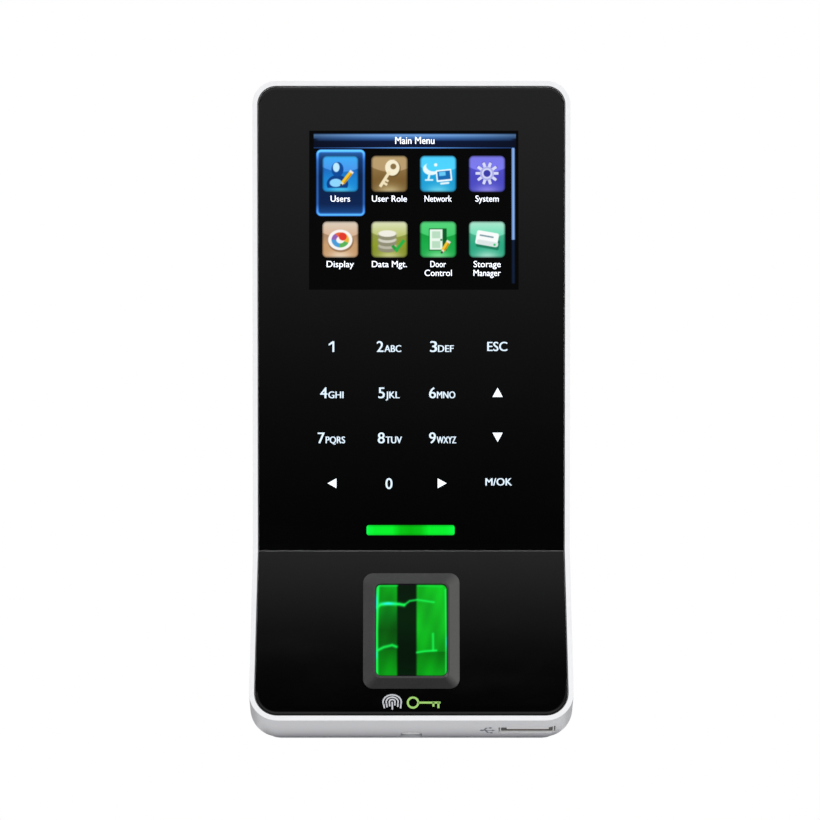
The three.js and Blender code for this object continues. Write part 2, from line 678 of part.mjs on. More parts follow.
function sensorCarrier() {
  const outside = { width: carrierInside.width + 2 * carrier.wall };
  outside.height = carrierInside.height + 2 * carrier.wall;
  const body = plateBlock(outside.width, outside.height, [carrierFront, carrierBack], 0, sensorZ);
  const well = plateBlock(carrierInside.width, carrierInside.height,
    [carrierFront - past, carrierFloor], 0, sensorZ);
  const slotX = [-carrier.slotWidth / 2, carrier.slotWidth / 2];
  const slotZ = [carrierTop - carrier.wall - past, carrierTop + past];
  const slot = block(slotX, [cameraFront - carrier.slotAhead, carrierFloor], slotZ);
  return cut(body, well, slot);
}

function sensorMirror() {
  const plateShape = block([-mirror.width / 2, mirror.width / 2], [0, mirror.thickness],
    [-mirror.length, 0]);
  const start = cameraZ - cameraBoard.height / 2 - gap;
  const below = sensorZ + flangeHeight / 2 - start;
  const back = flangeFront + prism.thin + below * Math.tan(prismSlope) + mirror.behind;
  return plateShape.rotateX(prismSlope).translate(0, back, start);
}

function sensorLens() {
  const lensBack = cameraFront - gap;
  const barrel = rodY(lens.radius, [lensBack - lens.length, lensBack], 0, cameraZ, roundSides);
  return cut(barrel, rodY(lens.bore, [lensBack - beyond, lensBack - lens.base], 0, cameraZ));
}

function sensorCameraBoard() {
  const depth = [cameraFront, cameraFront + cameraBoard.thickness];
  return plateBlock(cameraBoard.width, cameraBoard.height, depth, 0, cameraZ);
}

function sensorLedBoard() {
  const z = sensorZ - carrierInside.height / 2 + gap + ledBoard.height / 2;
  const back = carrierFloor - gap;
  return plateBlock(ledBoard.width, ledBoard.height, [back - ledBoard.thickness, back], 0, z);
}

function sensorFlex() {
  const lie = rearPartFront + sensorRibbon.lift;
  const start = new THREE.Vector3(0, cameraFront + cameraBoard.thickness / 2,
    cameraZ + cameraBoard.height / 2 + gap).applyMatrix4(lowerFrame);
  const route = [
    [start.y, start.z],
    [lie, boardBottom - sensorRibbon.below],
    [lie, boardBottom + sensorRibbon.above],
  ];
  const half = sensorRibbon.width / 2;
  return ribbon(route, sensorRibbon.thickness, [-half, half]);
}

// ---------------------------------------------------------------- main board and its parts

function mainBoard() {
  const depth = [boardDepth, boardBack];
  const board = block([-boardWidth / 2, boardWidth / 2], depth, [boardBottom, boardTop]);
  const legX = [boardLeg.from, boardLeg.to];
  const leg = block(legX, depth, [-boardLeg.length, boardBottom + rootOverlap]);
  const through = [boardDepth - past, boardBack + past];
  const radius = boardScrew.shank + screwGap;
  const holes = [];
  for (const side of [-1, 1]) {
    for (const z of boardScrewZ) {
      holes.push(rodY(radius, through, side * boardScrewX, z));
    }
  }
  return cut(join(board, leg), ...holes);
}

function boardScrewAt(x, z) {
  const under = boardBack + boardGap;
  const tip = under - boardScrew.length;
  const headBack = under + boardScrew.headHeight;
  const shank = rodY(boardScrew.shank, [tip, under + rootOverlap], x, z, shankSides);
  const head = rodY(boardScrew.head, [under, headBack], x, z);
  const depth = [headBack - boardDrive.depth, headBack + past];
  const drive = rodY(boardDrive.radius, depth, x, z, hexSides);
  return cut(join(head, shank), drive);
}

function caseScrewAt(x, z) {
  const head = coverBack - caseScrew.headHeight;
  const tip = head - caseScrew.length;
  const shank = rodY(caseScrew.shank, [tip, head + rootOverlap], x, z, shankSides);
  const top = rodY(caseScrew.head, [head, coverBack], x, z);
  const depth = [coverBack - caseDrive.depth, coverBack + past];
  const drive = rodY(caseDrive.radius, depth, x, z, hexSides);
  return cut(join(top, shank), drive);
}

function processorShield() {
  const back = rearPartFront + shield.depth;
  const z = lowerRowZ + shield.z;
  const can = plateBlock(shield.width, shield.height, [rearPartFront, back], shield.x, z);
  const inside = plateBlock(shield.width - 2 * shield.sheet, shield.height - 2 * shield.sheet,
    [rearPartFront - past, back - shield.sheet], shield.x, z);
  return cut(can, inside);
}

// A moulded block with a row of legs along each long side.
function networkTransformer() {
  const { x } = transformer;
  const z = lowerRowZ + transformer.z;
  const leg = transformerLeg;
  const legDepth = [rearPartFront, rearPartFront + leg.depth];
  const depth = [rearPartFront, rearPartFront + transformer.depth];
  const solids = [];
  for (const side of [-1, 1]) {
    for (let i = 0; i < leg.count; i += 1) {
      const legX = x + (i - (leg.count - 1) / 2) * leg.pitch;
      solids.push(plateBlock(leg.width, leg.length, legDepth, legX, z + side * leg.offset));
    }
  }
  return join(plateBlock(transformer.width, transformer.height, depth, x, z), ...solids);
}

function coinCellHolder() {
  const back = coverFront - gap;
  const base = plateBlock(cell.holder, cell.holder, [rearPartFront, back], cell.x, lowerRowZ);
  const well = [rearPartFront + cell.floor, back + past];
  return cut(base, rodY(cell.radius + gap, well, cell.x, lowerRowZ, roundSides));
}

function coinCell() {
  const front = rearPartFront + cell.floor + gap;
  return rodY(cell.radius, [front, front + cell.thickness], cell.x, lowerRowZ, roundSides);
}

function buzzer() {
  const { radius, x, hole } = buzzerCan;
  const z = lowerRowZ + buzzerCan.z;
  const back = rearPartFront + buzzerCan.depth;
  const body = rodY(radius, [rearPartFront, back], x, z, roundSides);
  return cut(body, rodY(hole, [back - buzzerCan.holeDepth, back + past], x, z));
}

function relay() {
  const x = (boardLeg.from + boardLeg.to) / 2;
  const z = relayCase.fromEnd - boardLeg.length;
  const depth = [frontPartBack - relayCase.depth, frontPartBack];
  return plateBlock(relayCase.width, relayCase.height, depth, x, z);
}

function speakerBody() {
  const front = trayBack + gap;
  const back = coverFront - gap;
  const disc = (radius, depth) => rodY(radius, depth, speaker.x, speakerZ, roundSides);
  const basket = disc(speaker.radius, [front + speaker.step, back]);
  const magnet = disc(speaker.magnet, [front, front + speaker.magnetDepth]);
  const cone = disc(speaker.radius - speaker.coneEdge, [back - speaker.coneDepth, back + past]);
  return cut(join(basket, magnet), cone);
}

// A wafer for a row of crimped wires: an open box with a row of contact pins in it.
function wireConnector(x, ways) {
  const width = ways * connector.pitch + 2 * connector.end;
  const z = bayTop - connector.fromTop;
  const back = coverBack - gap;
  const body = plateBlock(width, connector.height, [rearPartFront, back], x, z);
  const inside = [rearPartFront + connector.sheet, back - connector.sheet];
  const well = plateBlock(width - 2 * connector.wall, connector.height, inside,
    x, z - connector.back);
  const pinFront = rearPartFront + connectorPin.lift;
  const pinDepth = [pinFront, pinFront + connectorPin.width];
  const pins = [];
  for (let i = 0; i < ways; i += 1) {
    const pinX = x + (i - (ways - 1) / 2) * connector.pitch;
    pins.push(plateBlock(connectorPin.width, connectorPin.length, pinDepth, pinX, z));
  }
  return join(cut(body, well), ...pins);
}

// ---------------------------------------------------------------- sprung pieces

const tamperTip = plateFront - tamper.tipGap;
const tamperEnd = tamperTip - tamper.length;
const tamperFloor = rearPartFront + switchFloor;

function tamperSwitch() {
  const depth = [rearPartFront, coverFront - gap];
  const body = plateBlock(tamper.body, tamper.body, depth, tamper.x, tamperZ);
  const bore = [tamperFloor, coverFront + past];
  return cut(body, rodY(tamper.radius + slideGap, bore, tamper.x, tamperZ));
}

function tamperPlunger() {
  const pin = rodY(tamper.radius, [tamperEnd, tamperTip], tamper.x, tamperZ);
  return cut(pin, rodY(tamper.bore, [tamperEnd - past, tamperTip - tamper.crown], tamper.x, tamperZ));
}

class Helix extends THREE.Curve {
  constructor(radius, turns, height) {
    super();
    this.radius = radius;
    this.turns = turns;
    this.height = height;
  }

  getPoint(t, target = new THREE.Vector3()) {
    const angle = 2 * Math.PI * this.turns * t;
    return target.set(this.radius * Math.cos(angle), this.height * t, this.radius * Math.sin(angle));
  }
}

function tamperSpringCoil() {
  const from = tamperFloor + tamperSpring.end + tamperSpring.wire;
  const to = tamperTip - tamper.crown - tamperSpring.end - tamperSpring.wire;
  const wire = new THREE.Shape().absarc(0, 0, tamperSpring.wire, 0, 2 * Math.PI);
  const path = new Helix(tamperSpring.radius, tamperSpring.turns, to - from);
  const steps = tamperSpring.turns * tamperSpring.stepsPerTurn;
  const options = { steps, curveSegments: wireArcSteps, extrudePath: path };
  return new THREE.ExtrudeGeometry(wire, options).translate(tamper.x, from, tamperZ);
}

const resetButtonBack = coverFront - gap;

function resetSwitch() {
  const back = resetButtonBack - reset.travel - reset.stop;
  const body = plateBlock(reset.body, reset.body, [rearPartFront, back], reset.x, resetZ);
  const bore = [rearPartFront + reset.floor, back + past];
  return cut(body, rodY(reset.radius + slideGap, bore, reset.x, resetZ));
}

function resetButton() {
  return rodY(reset.radius, [resetButtonBack - reset.travel - reset.button, resetButtonBack],
    reset.x, resetZ);
}

// ---------------------------------------------------------------- socket for a memory stick

function usbSocketShell() {
  const depth = usbDepths;
  const inner = [depth[0] + usb.sheet, depth[1] - usb.sheet];
  const half = usb.width / 2;
  const body = block([usb.x - half, usb.x + half], depth, [usbMouth, usbMouth + usb.length]);
  const wellX = [usb.x - half + usb.sheet, usb.x + half - usb.sheet];
  return cut(body, block(wellX, inner, [usbMouth - past, usbMouth + usb.length - usb.sheet]));
}

function usbTonguePlate() {
  const front = usbDepths[0] + usb.sheet + usbTongue.ahead;
  const low = usbMouth + usbTongue.recess;
  const half = usbTongue.width / 2;
  const tongue = block([usb.x - half, usb.x + half], [front, front + usbTongue.height],
    [low, low + usbTongue.length]);
  const rootTop = usbMouth + usb.length - usb.sheet - gap;
  const side = usb.sheet + usbTongue.rootSide;
  const rootDepth = [usbDepths[0] + side, usbDepths[1] - side];
  const rootZ = [low + usbTongue.length - usbTongue.root, rootTop];
  const root = block([usb.x - half, usb.x + half], rootDepth, rootZ);
  return join(tongue, root);
}

function usbBoardPlate() {
  const back = usbDepths[0] - boardGap;
  const low = -lowerLength + sideWall + usbBoard.aboveWall;
  const half = usbBoard.width / 2;
  return block([usb.x - half, usb.x + half], [back - boardThickness, back], [low, low + usbBoard.length]);
}

// ---------------------------------------------------------------- assembly

const finishes = {
  white: { color: 0xe9eaec, roughness: 0.35, metalness: 0 },
  glass: { color: 0x08090a, roughness: 0.05, metalness: 0 },
  glow: { color: 0x18e23c, roughness: 0.3, metalness: 0 },
  charcoal: { color: 0x47484a, roughness: 0.6, metalness: 0 },
  black: { color: 0x17181a, roughness: 0.6, metalness: 0 },
  rubber: { color: 0x101010, roughness: 0.85, metalness: 0 },
  prism: { color: 0x12b52c, roughness: 0.05, metalness: 0 },
  steel: { color: 0x8d9196, roughness: 0.4, metalness: 1 },
  bright: { color: 0xd5d9de, roughness: 0.25, metalness: 1 },
  board: { color: 0x14532d, roughness: 0.5, metalness: 0 },
  amber: { color: 0xc98a2b, roughness: 0.4, metalness: 0 },
  ivory: { color: 0xe4dfd0, roughness: 0.5, metalness: 0 },
};

function piece(parent, name, geometry, finish) {
  const mesh = new THREE.Mesh(geometry, new THREE.MeshStandardMaterial(finish));
  mesh.name = name;
  parent.add(mesh);
}

const model = new THREE.Group();
const body = new THREE.Group();
const lowerPanel = new THREE.Group();
body.position.set(0, -wallY, -bodyMiddle);
lowerPanel.rotation.x = -lowerTilt;
model.add(body);
body.add(lowerPanel);

function addOutside() {
  piece(body, 'wall_plate', wallPlate(), finishes.steel);
  piece(body, 'security_screw', securityScrew(), finishes.bright);
  piece(body, 'front_housing', frontHousing(), finishes.white);
  piece(body, 'rear_cover', rearCover(), finishes.charcoal);
  piece(body, 'front_glass', frontGlass(), finishes.glass);
  piece(lowerPanel, 'lower_fascia', lowerFascia(), finishes.glass);
  piece(body, 'status_light_guide', statusLightGuide(), finishes.glow);
  piece(body, 'rating_label', ratingLabel(), finishes.ivory);
}

function addDisplayAndKeypad() {
  piece(body, 'lcd_panel', lcdPanel(), finishes.black);
  piece(body, 'lcd_tray', lcdTray(), finishes.black);
  piece(body, 'lcd_flex', lcdFlex(), finishes.amber);
  piece(body, 'keypad_light_film', keypadSheet(ledgeDepth, keypad.film), finishes.ivory);
  piece(body, 'keypad_board', keypadSheet(keypadBoardFront, keypad.board), finishes.board);
  piece(body, 'keypad_flex', keypadFlex(), finishes.amber);
  piece(body, 'card_antenna', cardAntenna(), finishes.amber);
  statusLedX.forEach((x, index) => {
    piece(body, `status_led_${index + 1}`, statusLed(x), finishes.ivory);
  });
}

function addSensor() {
  piece(lowerPanel, 'sensor_bezel', sensorBezel(), finishes.charcoal);
  piece(lowerPanel, 'sensor_gasket', sensorGasket(), finishes.rubber);
  piece(lowerPanel, 'sensor_prism', sensorPrism(), finishes.prism);
  piece(lowerPanel, 'sensor_carrier', sensorCarrier(), finishes.black);
  piece(lowerPanel, 'sensor_mirror', sensorMirror(), finishes.bright);
  piece(lowerPanel, 'sensor_lens', sensorLens(), finishes.black);
  piece(lowerPanel, 'sensor_camera_board', sensorCameraBoard(), finishes.board);
  piece(lowerPanel, 'sensor_led_board', sensorLedBoard(), finishes.board);
  piece(body, 'sensor_flex', sensorFlex(), finishes.amber);
}

function addElectronics() {
  piece(body, 'main_board', mainBoard(), finishes.board);
  piece(body, 'processor_shield', processorShield(), finishes.bright);
  piece(body, 'network_transformer', networkTransformer(), finishes.black);
  piece(body, 'coin_cell_holder', coinCellHolder(), finishes.black);
  piece(body, 'coin_cell', coinCell(), finishes.bright);
  piece(body, 'buzzer', buzzer(), finishes.black);
  piece(body, 'relay', relay(), finishes.ivory);
  piece(body, 'speaker', speakerBody(), finishes.black);
  piece(body, 'power_connector', wireConnector(connectorX.power, 3), finishes.ivory);
  piece(body, 'lock_connector', wireConnector(connectorX.lock, 4), finishes.ivory);
  piece(body, 'reader_connector', wireConnector(connectorX.reader, 4), finishes.ivory);
  piece(body, 'network_connector', wireConnector(connectorX.network, 5), finishes.ivory);
  piece(lowerPanel, 'usb_board', usbBoardPlate(), finishes.board);
  piece(lowerPanel, 'usb_socket_shell', usbSocketShell(), finishes.bright);
  piece(lowerPanel, 'usb_tongue', usbTonguePlate(), finishes.ivory);
}

function addSprungPieces() {
  piece(body, 'tamper_switch', tamperSwitch(), finishes.black);
  piece(body, 'tamper_plunger', tamperPlunger(), finishes.ivory);
  piece(body, 'tamper_spring', tamperSpringCoil(), finishes.bright);
  piece(body, 'reset_switch', resetSwitch(), finishes.steel);
  piece(body, 'reset_button', resetButton(), finishes.black);
}

function addFasteners() {
  let number = 0;
  for (const side of [-1, 1]) {
    const caseHoles = [[side * caseScrewX, caseScrewTop], [side * footScrewX, footScrewZ]];
    boardScrewZ.forEach((z, index) => {
      number += 1;
      piece(body, `board_screw_${number}`, boardScrewAt(side * boardScrewX, z), finishes.bright);
      piece(body, `case_screw_${number}`, caseScrewAt(...caseHoles[index]), finishes.steel);
    });
  }
}

addOutside();
addDisplayAndKeypad();
addSensor();
addElectronics();
addSprungPieces();
addFasteners();

export default model;
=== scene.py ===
import bpy, bmesh, math
import numpy as np
from mathutils import Matrix, Vector


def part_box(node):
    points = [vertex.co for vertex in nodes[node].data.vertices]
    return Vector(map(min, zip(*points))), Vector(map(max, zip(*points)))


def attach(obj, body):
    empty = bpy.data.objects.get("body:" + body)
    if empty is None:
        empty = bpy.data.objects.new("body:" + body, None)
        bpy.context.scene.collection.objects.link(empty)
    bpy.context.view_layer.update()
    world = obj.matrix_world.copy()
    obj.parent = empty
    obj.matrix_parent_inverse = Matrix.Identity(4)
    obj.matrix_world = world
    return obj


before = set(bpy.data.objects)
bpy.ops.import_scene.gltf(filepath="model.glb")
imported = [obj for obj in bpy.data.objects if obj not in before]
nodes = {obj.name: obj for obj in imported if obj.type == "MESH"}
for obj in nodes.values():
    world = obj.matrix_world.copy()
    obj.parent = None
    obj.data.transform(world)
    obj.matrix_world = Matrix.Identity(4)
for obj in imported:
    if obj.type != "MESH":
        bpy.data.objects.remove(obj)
scene = bpy.context.scene
scene.view_settings.view_transform = "Standard"
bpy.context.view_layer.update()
mm = 0.001
body = "terminal"   # the part that swings off the wall plate carries everything on the front

# where the two front panels lie: both meet at the fold
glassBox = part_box("front_glass")
foldGap = 0.15 * mm
fold = Vector((0, glassBox[0].y, glassBox[0].z - foldGap))
toe = min((v.co for v in nodes["lower_fascia"].data.vertices), key=lambda p: p.y)
tilt = math.atan2(fold.y - toe.y, fold.z - toe.z)


def planeAt(origin, up):
    # right, up and outward axes of a flat face, with its origin
    right = Vector((1, 0, 0))
    out = right.cross(up)
    return Matrix([(right[i], up[i], out[i], origin[i]) for i in range(3)] + [(0, 0, 0, 1)])


upperFace = planeAt(fold, Vector((0, 0, 1)))
lowerUp = Vector((0, math.sin(tilt), math.cos(tilt)))
lowerFace = planeAt(fold, lowerUp)
footPoint = min((v.co for v in nodes["front_housing"].data.vertices), key=lambda p: p.z + p.y * math.tan(tilt))
footFace = planeAt(Vector((0, footPoint.y, footPoint.z)), Vector((0, -math.cos(tilt), math.sin(tilt))))
print("frame loaded, lower panel leans", round(math.degrees(tilt), 2), "degrees")


# ---- shader helpers and the shared effects

def addNode(tree, kind, values=None, **settings):
    made = tree.nodes.new("ShaderNode" + kind)
    for key, value in settings.items():
        setattr(made, key, value)
    for key, value in (values or {}).items():
        if isinstance(value, bpy.types.NodeSocket):
            tree.links.new(value, made.inputs[key])
        else:
            made.inputs[key].default_value = value
    return made


def rgba(colour):
    return (*colour, 1.0)


def shared(name, takes, gives):
    group = bpy.data.node_groups.new(name, "ShaderNodeTree")
    for label, kind, value in takes:
        socket = group.interface.new_socket(label, in_out="INPUT", socket_type="NodeSocket" + kind)
        socket.default_value = value
    for label, kind in gives:
        group.interface.new_socket(label, in_out="OUTPUT", socket_type="NodeSocket" + kind)
    return group, group.nodes.new("NodeGroupInput"), group.nodes.new("NodeGroupOutput")


def use(tree, group, values):
    made = tree.nodes.new("ShaderNodeGroup")
    made.node_tree = group
    for key, value in values.items():
        if isinstance(value, bpy.types.NodeSocket):
            tree.links.new(value, made.inputs[key])
        else:
            made.inputs[key].default_value = value
    return made


def mathNode(tree, what, a, b=0.0, c=0.0, clamp=False):
    return addNode(tree, "Math", {0: a, 1: b, 2: c}, operation=what, use_clamp=clamp).outputs[0]


def mixColour(tree, share, a, b, how="MIX"):
    made = addNode(tree, "Mix", {0: share, 6: a, 7: b}, data_type="RGBA", blend_type=how)
    return made.outputs[2]


def makeToneDrift():
    # slow change of shade over a surface, as real batches of plastic and paint have
    group, enter, leave = shared(
        "toneDrift",
        [("Colour", "Color", (0.5, 0.5, 0.5, 1)), ("Shade", "Float", 0.1), ("Scale", "Float", 40.0)],
        [("Colour", "Color")])
    place = addNode(group, "TexCoord").outputs["Object"]
    cloud = addNode(group, "TexNoise", {"Vector": place, "Scale": enter.outputs["Scale"], "Detail": 3.0})
    fine = mathNode(group, "MULTIPLY", enter.outputs["Scale"], 23.0)
    speck = addNode(group, "TexNoise", {"Vector": place, "Scale": fine, "Detail": 2.0})
    both = mathNode(group, "ADD", cloud.outputs[0], mathNode(group, "MULTIPLY", speck.outputs[0], 0.6))
    swing = mathNode(group, "MULTIPLY", mathNode(group, "SUBTRACT", both, 0.8), enter.outputs["Shade"])
    gain = mathNode(group, "ADD", mathNode(group, "MULTIPLY", swing, 2.0), 1.0)
    spread = addNode(group, "CombineColor", {0: gain, 1: gain, 2: gain}).outputs[0]
    group.links.new(mixColour(group, 1.0, enter.outputs["Colour"], spread, "MULTIPLY"), leave.inputs["Colour"])
    return group


def makeMouldGrain():
    # fine spark or paint grain: a height for the bump and a roughness that follows it
    group, enter, leave = shared(
        "mouldGrain",
        [("Scale", "Float", 3000.0), ("Roughness", "Float", 0.5), ("Spread", "Float", 0.1)],
        [("Height", "Float"), ("Roughness", "Float")])
    place = addNode(group, "TexCoord").outputs["Object"]
    cells = addNode(group, "TexVoronoi", {"Vector": place, "Scale": enter.outputs["Scale"]}, feature="SMOOTH_F1")
    noise = addNode(group, "TexNoise", {"Vector": place, "Scale": enter.outputs["Scale"], "Detail": 3.0})
    height = mathNode(group, "ADD", mathNode(group, "MULTIPLY", cells.outputs[0], 0.7), noise.outputs[0])
    broad = addNode(group, "TexNoise", {"Vector": place, "Scale": 60.0, "Detail": 4.0}).outputs[0]
    swing = mathNode(group, "ADD", mathNode(group, "MULTIPLY", height, 0.5), broad)
    swing = mathNode(group, "MULTIPLY", mathNode(group, "SUBTRACT", swing, 0.9), enter.outputs["Spread"])
    group.links.new(height, leave.inputs["Height"])
    rough = mathNode(group, "ADD", enter.outputs["Roughness"], swing, clamp=True)
    group.links.new(rough, leave.inputs["Roughness"])
    return group


def makeEdgeWear():
    # a broken mask along outer corners
    group, enter, leave = shared(
        "edgeWear", [("Amount", "Float", 0.3), ("Scale", "Float", 900.0)], [("Mask", "Float")])
    place = addNode(group, "TexCoord").outputs["Object"]
    edge = addNode(group, "NewGeometry").outputs["Pointiness"]
    edge = addNode(group, "MapRange", {0: edge, 1: 0.52, 2: 0.62}).outputs[0]
    noise = addNode(group, "TexNoise", {"Vector": place, "Scale": enter.outputs["Scale"], "Detail": 5.0}).outputs[0]
    broken = addNode(group, "MapRange", {0: noise, 1: 0.42, 2: 0.62}).outputs[0]
    mask = mathNode(group, "MULTIPLY", mathNode(group, "MULTIPLY", edge, broken), enter.outputs["Amount"])
    group.links.new(mask, leave.inputs["Mask"])
    return group


def makeSettledDust():
    # pale specks, more of them on faces that look up
    group, enter, leave = shared("settledDust", [("Amount", "Float", 0.1)], [("Mask", "Float")])
    place = addNode(group, "TexCoord").outputs["Object"]
    normal = addNode(group, "NewGeometry").outputs["Normal"]
    up = addNode(group, "SeparateXYZ", {0: normal}).outputs[2]
    up = addNode(group, "MapRange", {0: up, 1: -0.1, 2: 1.0, 3: 0.25, 4: 1.0}).outputs[0]
    noise = addNode(group, "TexNoise", {"Vector": place, "Scale": 1400.0, "Detail": 6.0, "Roughness": 0.7}).outputs[0]
    specks = addNode(group, "MapRange", {0: noise, 1: 0.5, 2: 0.75}).outputs[0]
    mask = mathNode(group, "MULTIPLY", mathNode(group, "MULTIPLY", up, specks), enter.outputs["Amount"])
    group.links.new(mask, leave.inputs["Mask"])
    return group


def makeDrawnLines():
    # long fine scratches left by rolling, drawing or brushing
    group, enter, leave = shared(
        "drawnLines",
        [("Along", "Vector", (60.0, 3000.0, 3000.0)), ("Roughness", "Float", 0.3), ("Spread", "Float", 0.2)],
        [("Height", "Float"), ("Roughness", "Float"), ("Mask", "Float")])
    place = addNode(group, "TexCoord").outputs["Object"]
    stretched = addNode(group, "VectorMath", {0: place, 1: enter.outputs["Along"]}, operation="MULTIPLY").outputs[0]
    lines = addNode(group, "TexNoise", {"Vector": stretched, "Scale": 1.0, "Detail": 4.0, "Roughness": 0.65}).outputs[0]
    swing = mathNode(group, "MULTIPLY", mathNode(group, "SUBTRACT", lines, 0.5), enter.outputs["Spread"])
    rough = mathNode(group, "ADD", enter.outputs["Roughness"], swing, clamp=True)
    group.links.new(lines, leave.inputs["Height"])
    group.links.new(rough, leave.inputs["Roughness"])
    group.links.new(lines, leave.inputs["Mask"])
    return group


def makeFacingMask():
    # how far a surface is turned toward one direction, for painted light and shade
    group, enter, leave = shared(
        "facingMask", [("Direction", "Vector", (1.0, 0.0, 0.0)), ("Low", "Float", 0.0), ("High", "Float", 1.0)],
        [("Mask", "Float")])
    normal = addNode(group, "NewGeometry").outputs["Normal"]
    along = addNode(group, "VectorMath", {0: normal, 1: enter.outputs["Direction"]}, operation="DOT_PRODUCT")
    mask = addNode(group, "MapRange", {0: along.outputs["Value"], 1: enter.outputs["Low"], 2: enter.outputs["High"]})
    group.links.new(mask.outputs[0], leave.inputs["Mask"])
    return group


def makeUnderShade():
    # painted shade: a mask that grows on the underside from the front edge to the back edge, near the wall
    group, enter, leave = shared(
        "underShade", [("Front", "Float", -0.019), ("Back", "Float", -0.0015)], [("Mask", "Float")])
    place = addNode(group, "SeparateXYZ", {0: addNode(group, "TexCoord").outputs["Object"]}).outputs[1]
    down = addNode(group, "SeparateXYZ", {0: addNode(group, "NewGeometry").outputs["True Normal"]}).outputs[2]
    down = addNode(group, "MapRange", {0: down, 1: -0.75, 2: -0.9}).outputs[0]
    deep = addNode(group, "MapRange", {0: place, 1: enter.outputs["Front"], 2: enter.outputs["Back"]}).outputs[0]
    deep = mathNode(group, "POWER", deep, 3.0)
    group.links.new(mathNode(group, "MULTIPLY", deep, down), leave.inputs["Mask"])
    return group


facingMask = makeFacingMask()
underShade = makeUnderShade()
toneDrift = makeToneDrift()
mouldGrain = makeMouldGrain()
edgeWear = makeEdgeWear()
settledDust = makeSettledDust()
drawnLines = makeDrawnLines()


def blank(name):
    material = bpy.data.materials.new(name)
    material.use_nodes = True
    tree = material.node_tree
    return material, tree, tree.nodes["Principled BSDF"]


def bumpFrom(tree, height, depth, strength=1.0):
    return addNode(tree, "Bump", {"Height": height, "Distance": depth, "Strength": strength}).outputs[0]


def moulded(name, look):
    # plastic, rubber and paint: drifting shade, grain, a little wear and dust, with painted light and shade by facing
    # and painted shade on the underside where a look asks for them
    material, tree, shader = blank(name)
    colour = use(tree, toneDrift, {
        "Colour": rgba(look["colour"]), "Shade": look["shade"], "Scale": look["driftScale"]}).outputs[0]
    if look.get("wear"):
        mask = use(tree, edgeWear, {"Amount": look["wear"]}).outputs[0]
        colour = mixColour(tree, mask, colour, rgba(look["wornColour"]))
    # painted light and shade: faces turned toward a given direction take the lighter and darker tones listed in the
    # look
    for direction, low, high, tone in look.get("facing", []):
        mask = use(tree, facingMask, {"Direction": direction, "Low": low, "High": high}).outputs[0]
        colour = mixColour(tree, mask, colour, rgba(tone))
    # painted shade: darker on the underside toward the wall
    if look.get("underShade"):
        mask = use(tree, underShade, {"Front": look["underShade"][0], "Back": look["underShade"][1]}).outputs[0]
        colour = mixColour(tree, mask, colour, rgba(look["underColour"]))
    if look.get("dust"):
        mask = use(tree, settledDust, {"Amount": look["dust"]}).outputs[0]
        colour = mixColour(tree, mask, colour, (0.6, 0.58, 0.54, 1))
    grain = use(tree, mouldGrain, {
        "Scale": look["grainScale"], "Roughness": look["roughness"], "Spread": look["spread"]})
    tree.links.new(colour, shader.inputs["Base Color"])
    tree.links.new(grain.outputs["Roughness"], shader.inputs["Roughness"])
    tree.links.new(bumpFrom(tree, grain.outputs["Height"], look["grainDepth"]), shader.inputs["Normal"])
    shader.inputs["Specular IOR Level"].default_value = look.get("specular", 0.5)
    shader.inputs["Coat Weight"].default_value = look.get("coat", 0.0)
    shader.inputs["Coat Roughness"].default_value = look.get("coatRoughness", 0.2)
    shader.inputs["Subsurface Weight"].default_value = 0.0
    return material


def metal(name, look):
    # sheet and turned metal: drawn lines, drifting shade, edges rubbed bright
    material, tree, shader = blank(name)
    colour = use(tree, toneDrift, {
        "Colour": rgba(look["colour"]), "Shade": look["shade"], "Scale": look["driftScale"]}).outputs[0]
    lines = use(tree, drawnLines, {
        "Along": look["along"], "Roughness": look["roughness"], "Spread": look["spread"]})
    mask = use(tree, edgeWear, {"Amount": look["wear"], "Scale": 1500.0}).outputs[0]
    colour = mixColour(tree, mask, colour, rgba(look["wornColour"]))
    if look.get("spangle"):
        place = addNode(tree, "TexCoord").outputs["Object"]
        flakes = addNode(tree, "TexVoronoi", {"Vector": place, "Scale": look["spangle"], "Randomness": 1.0})
        level = addNode(tree, "SeparateColor", {0: flakes.outputs["Color"]}).outputs[0]
        level = addNode(tree, "MapRange", {0: level, 3: 0.93, 4: 1.03}).outputs[0]
        flat = addNode(tree, "CombineColor", {0: level, 1: level, 2: level}).outputs[0]
        colour = mixColour(tree, 1.0, colour, flat, "MULTIPLY")
    tree.links.new(colour, shader.inputs["Base Color"])
    tree.links.new(lines.outputs["Roughness"], shader.inputs["Roughness"])
    tree.links.new(bumpFrom(tree, lines.outputs["Height"], look["depth"]), shader.inputs["Normal"])
    shader.inputs["Metallic"].default_value = look.get("metallic", 1.0)
    return material


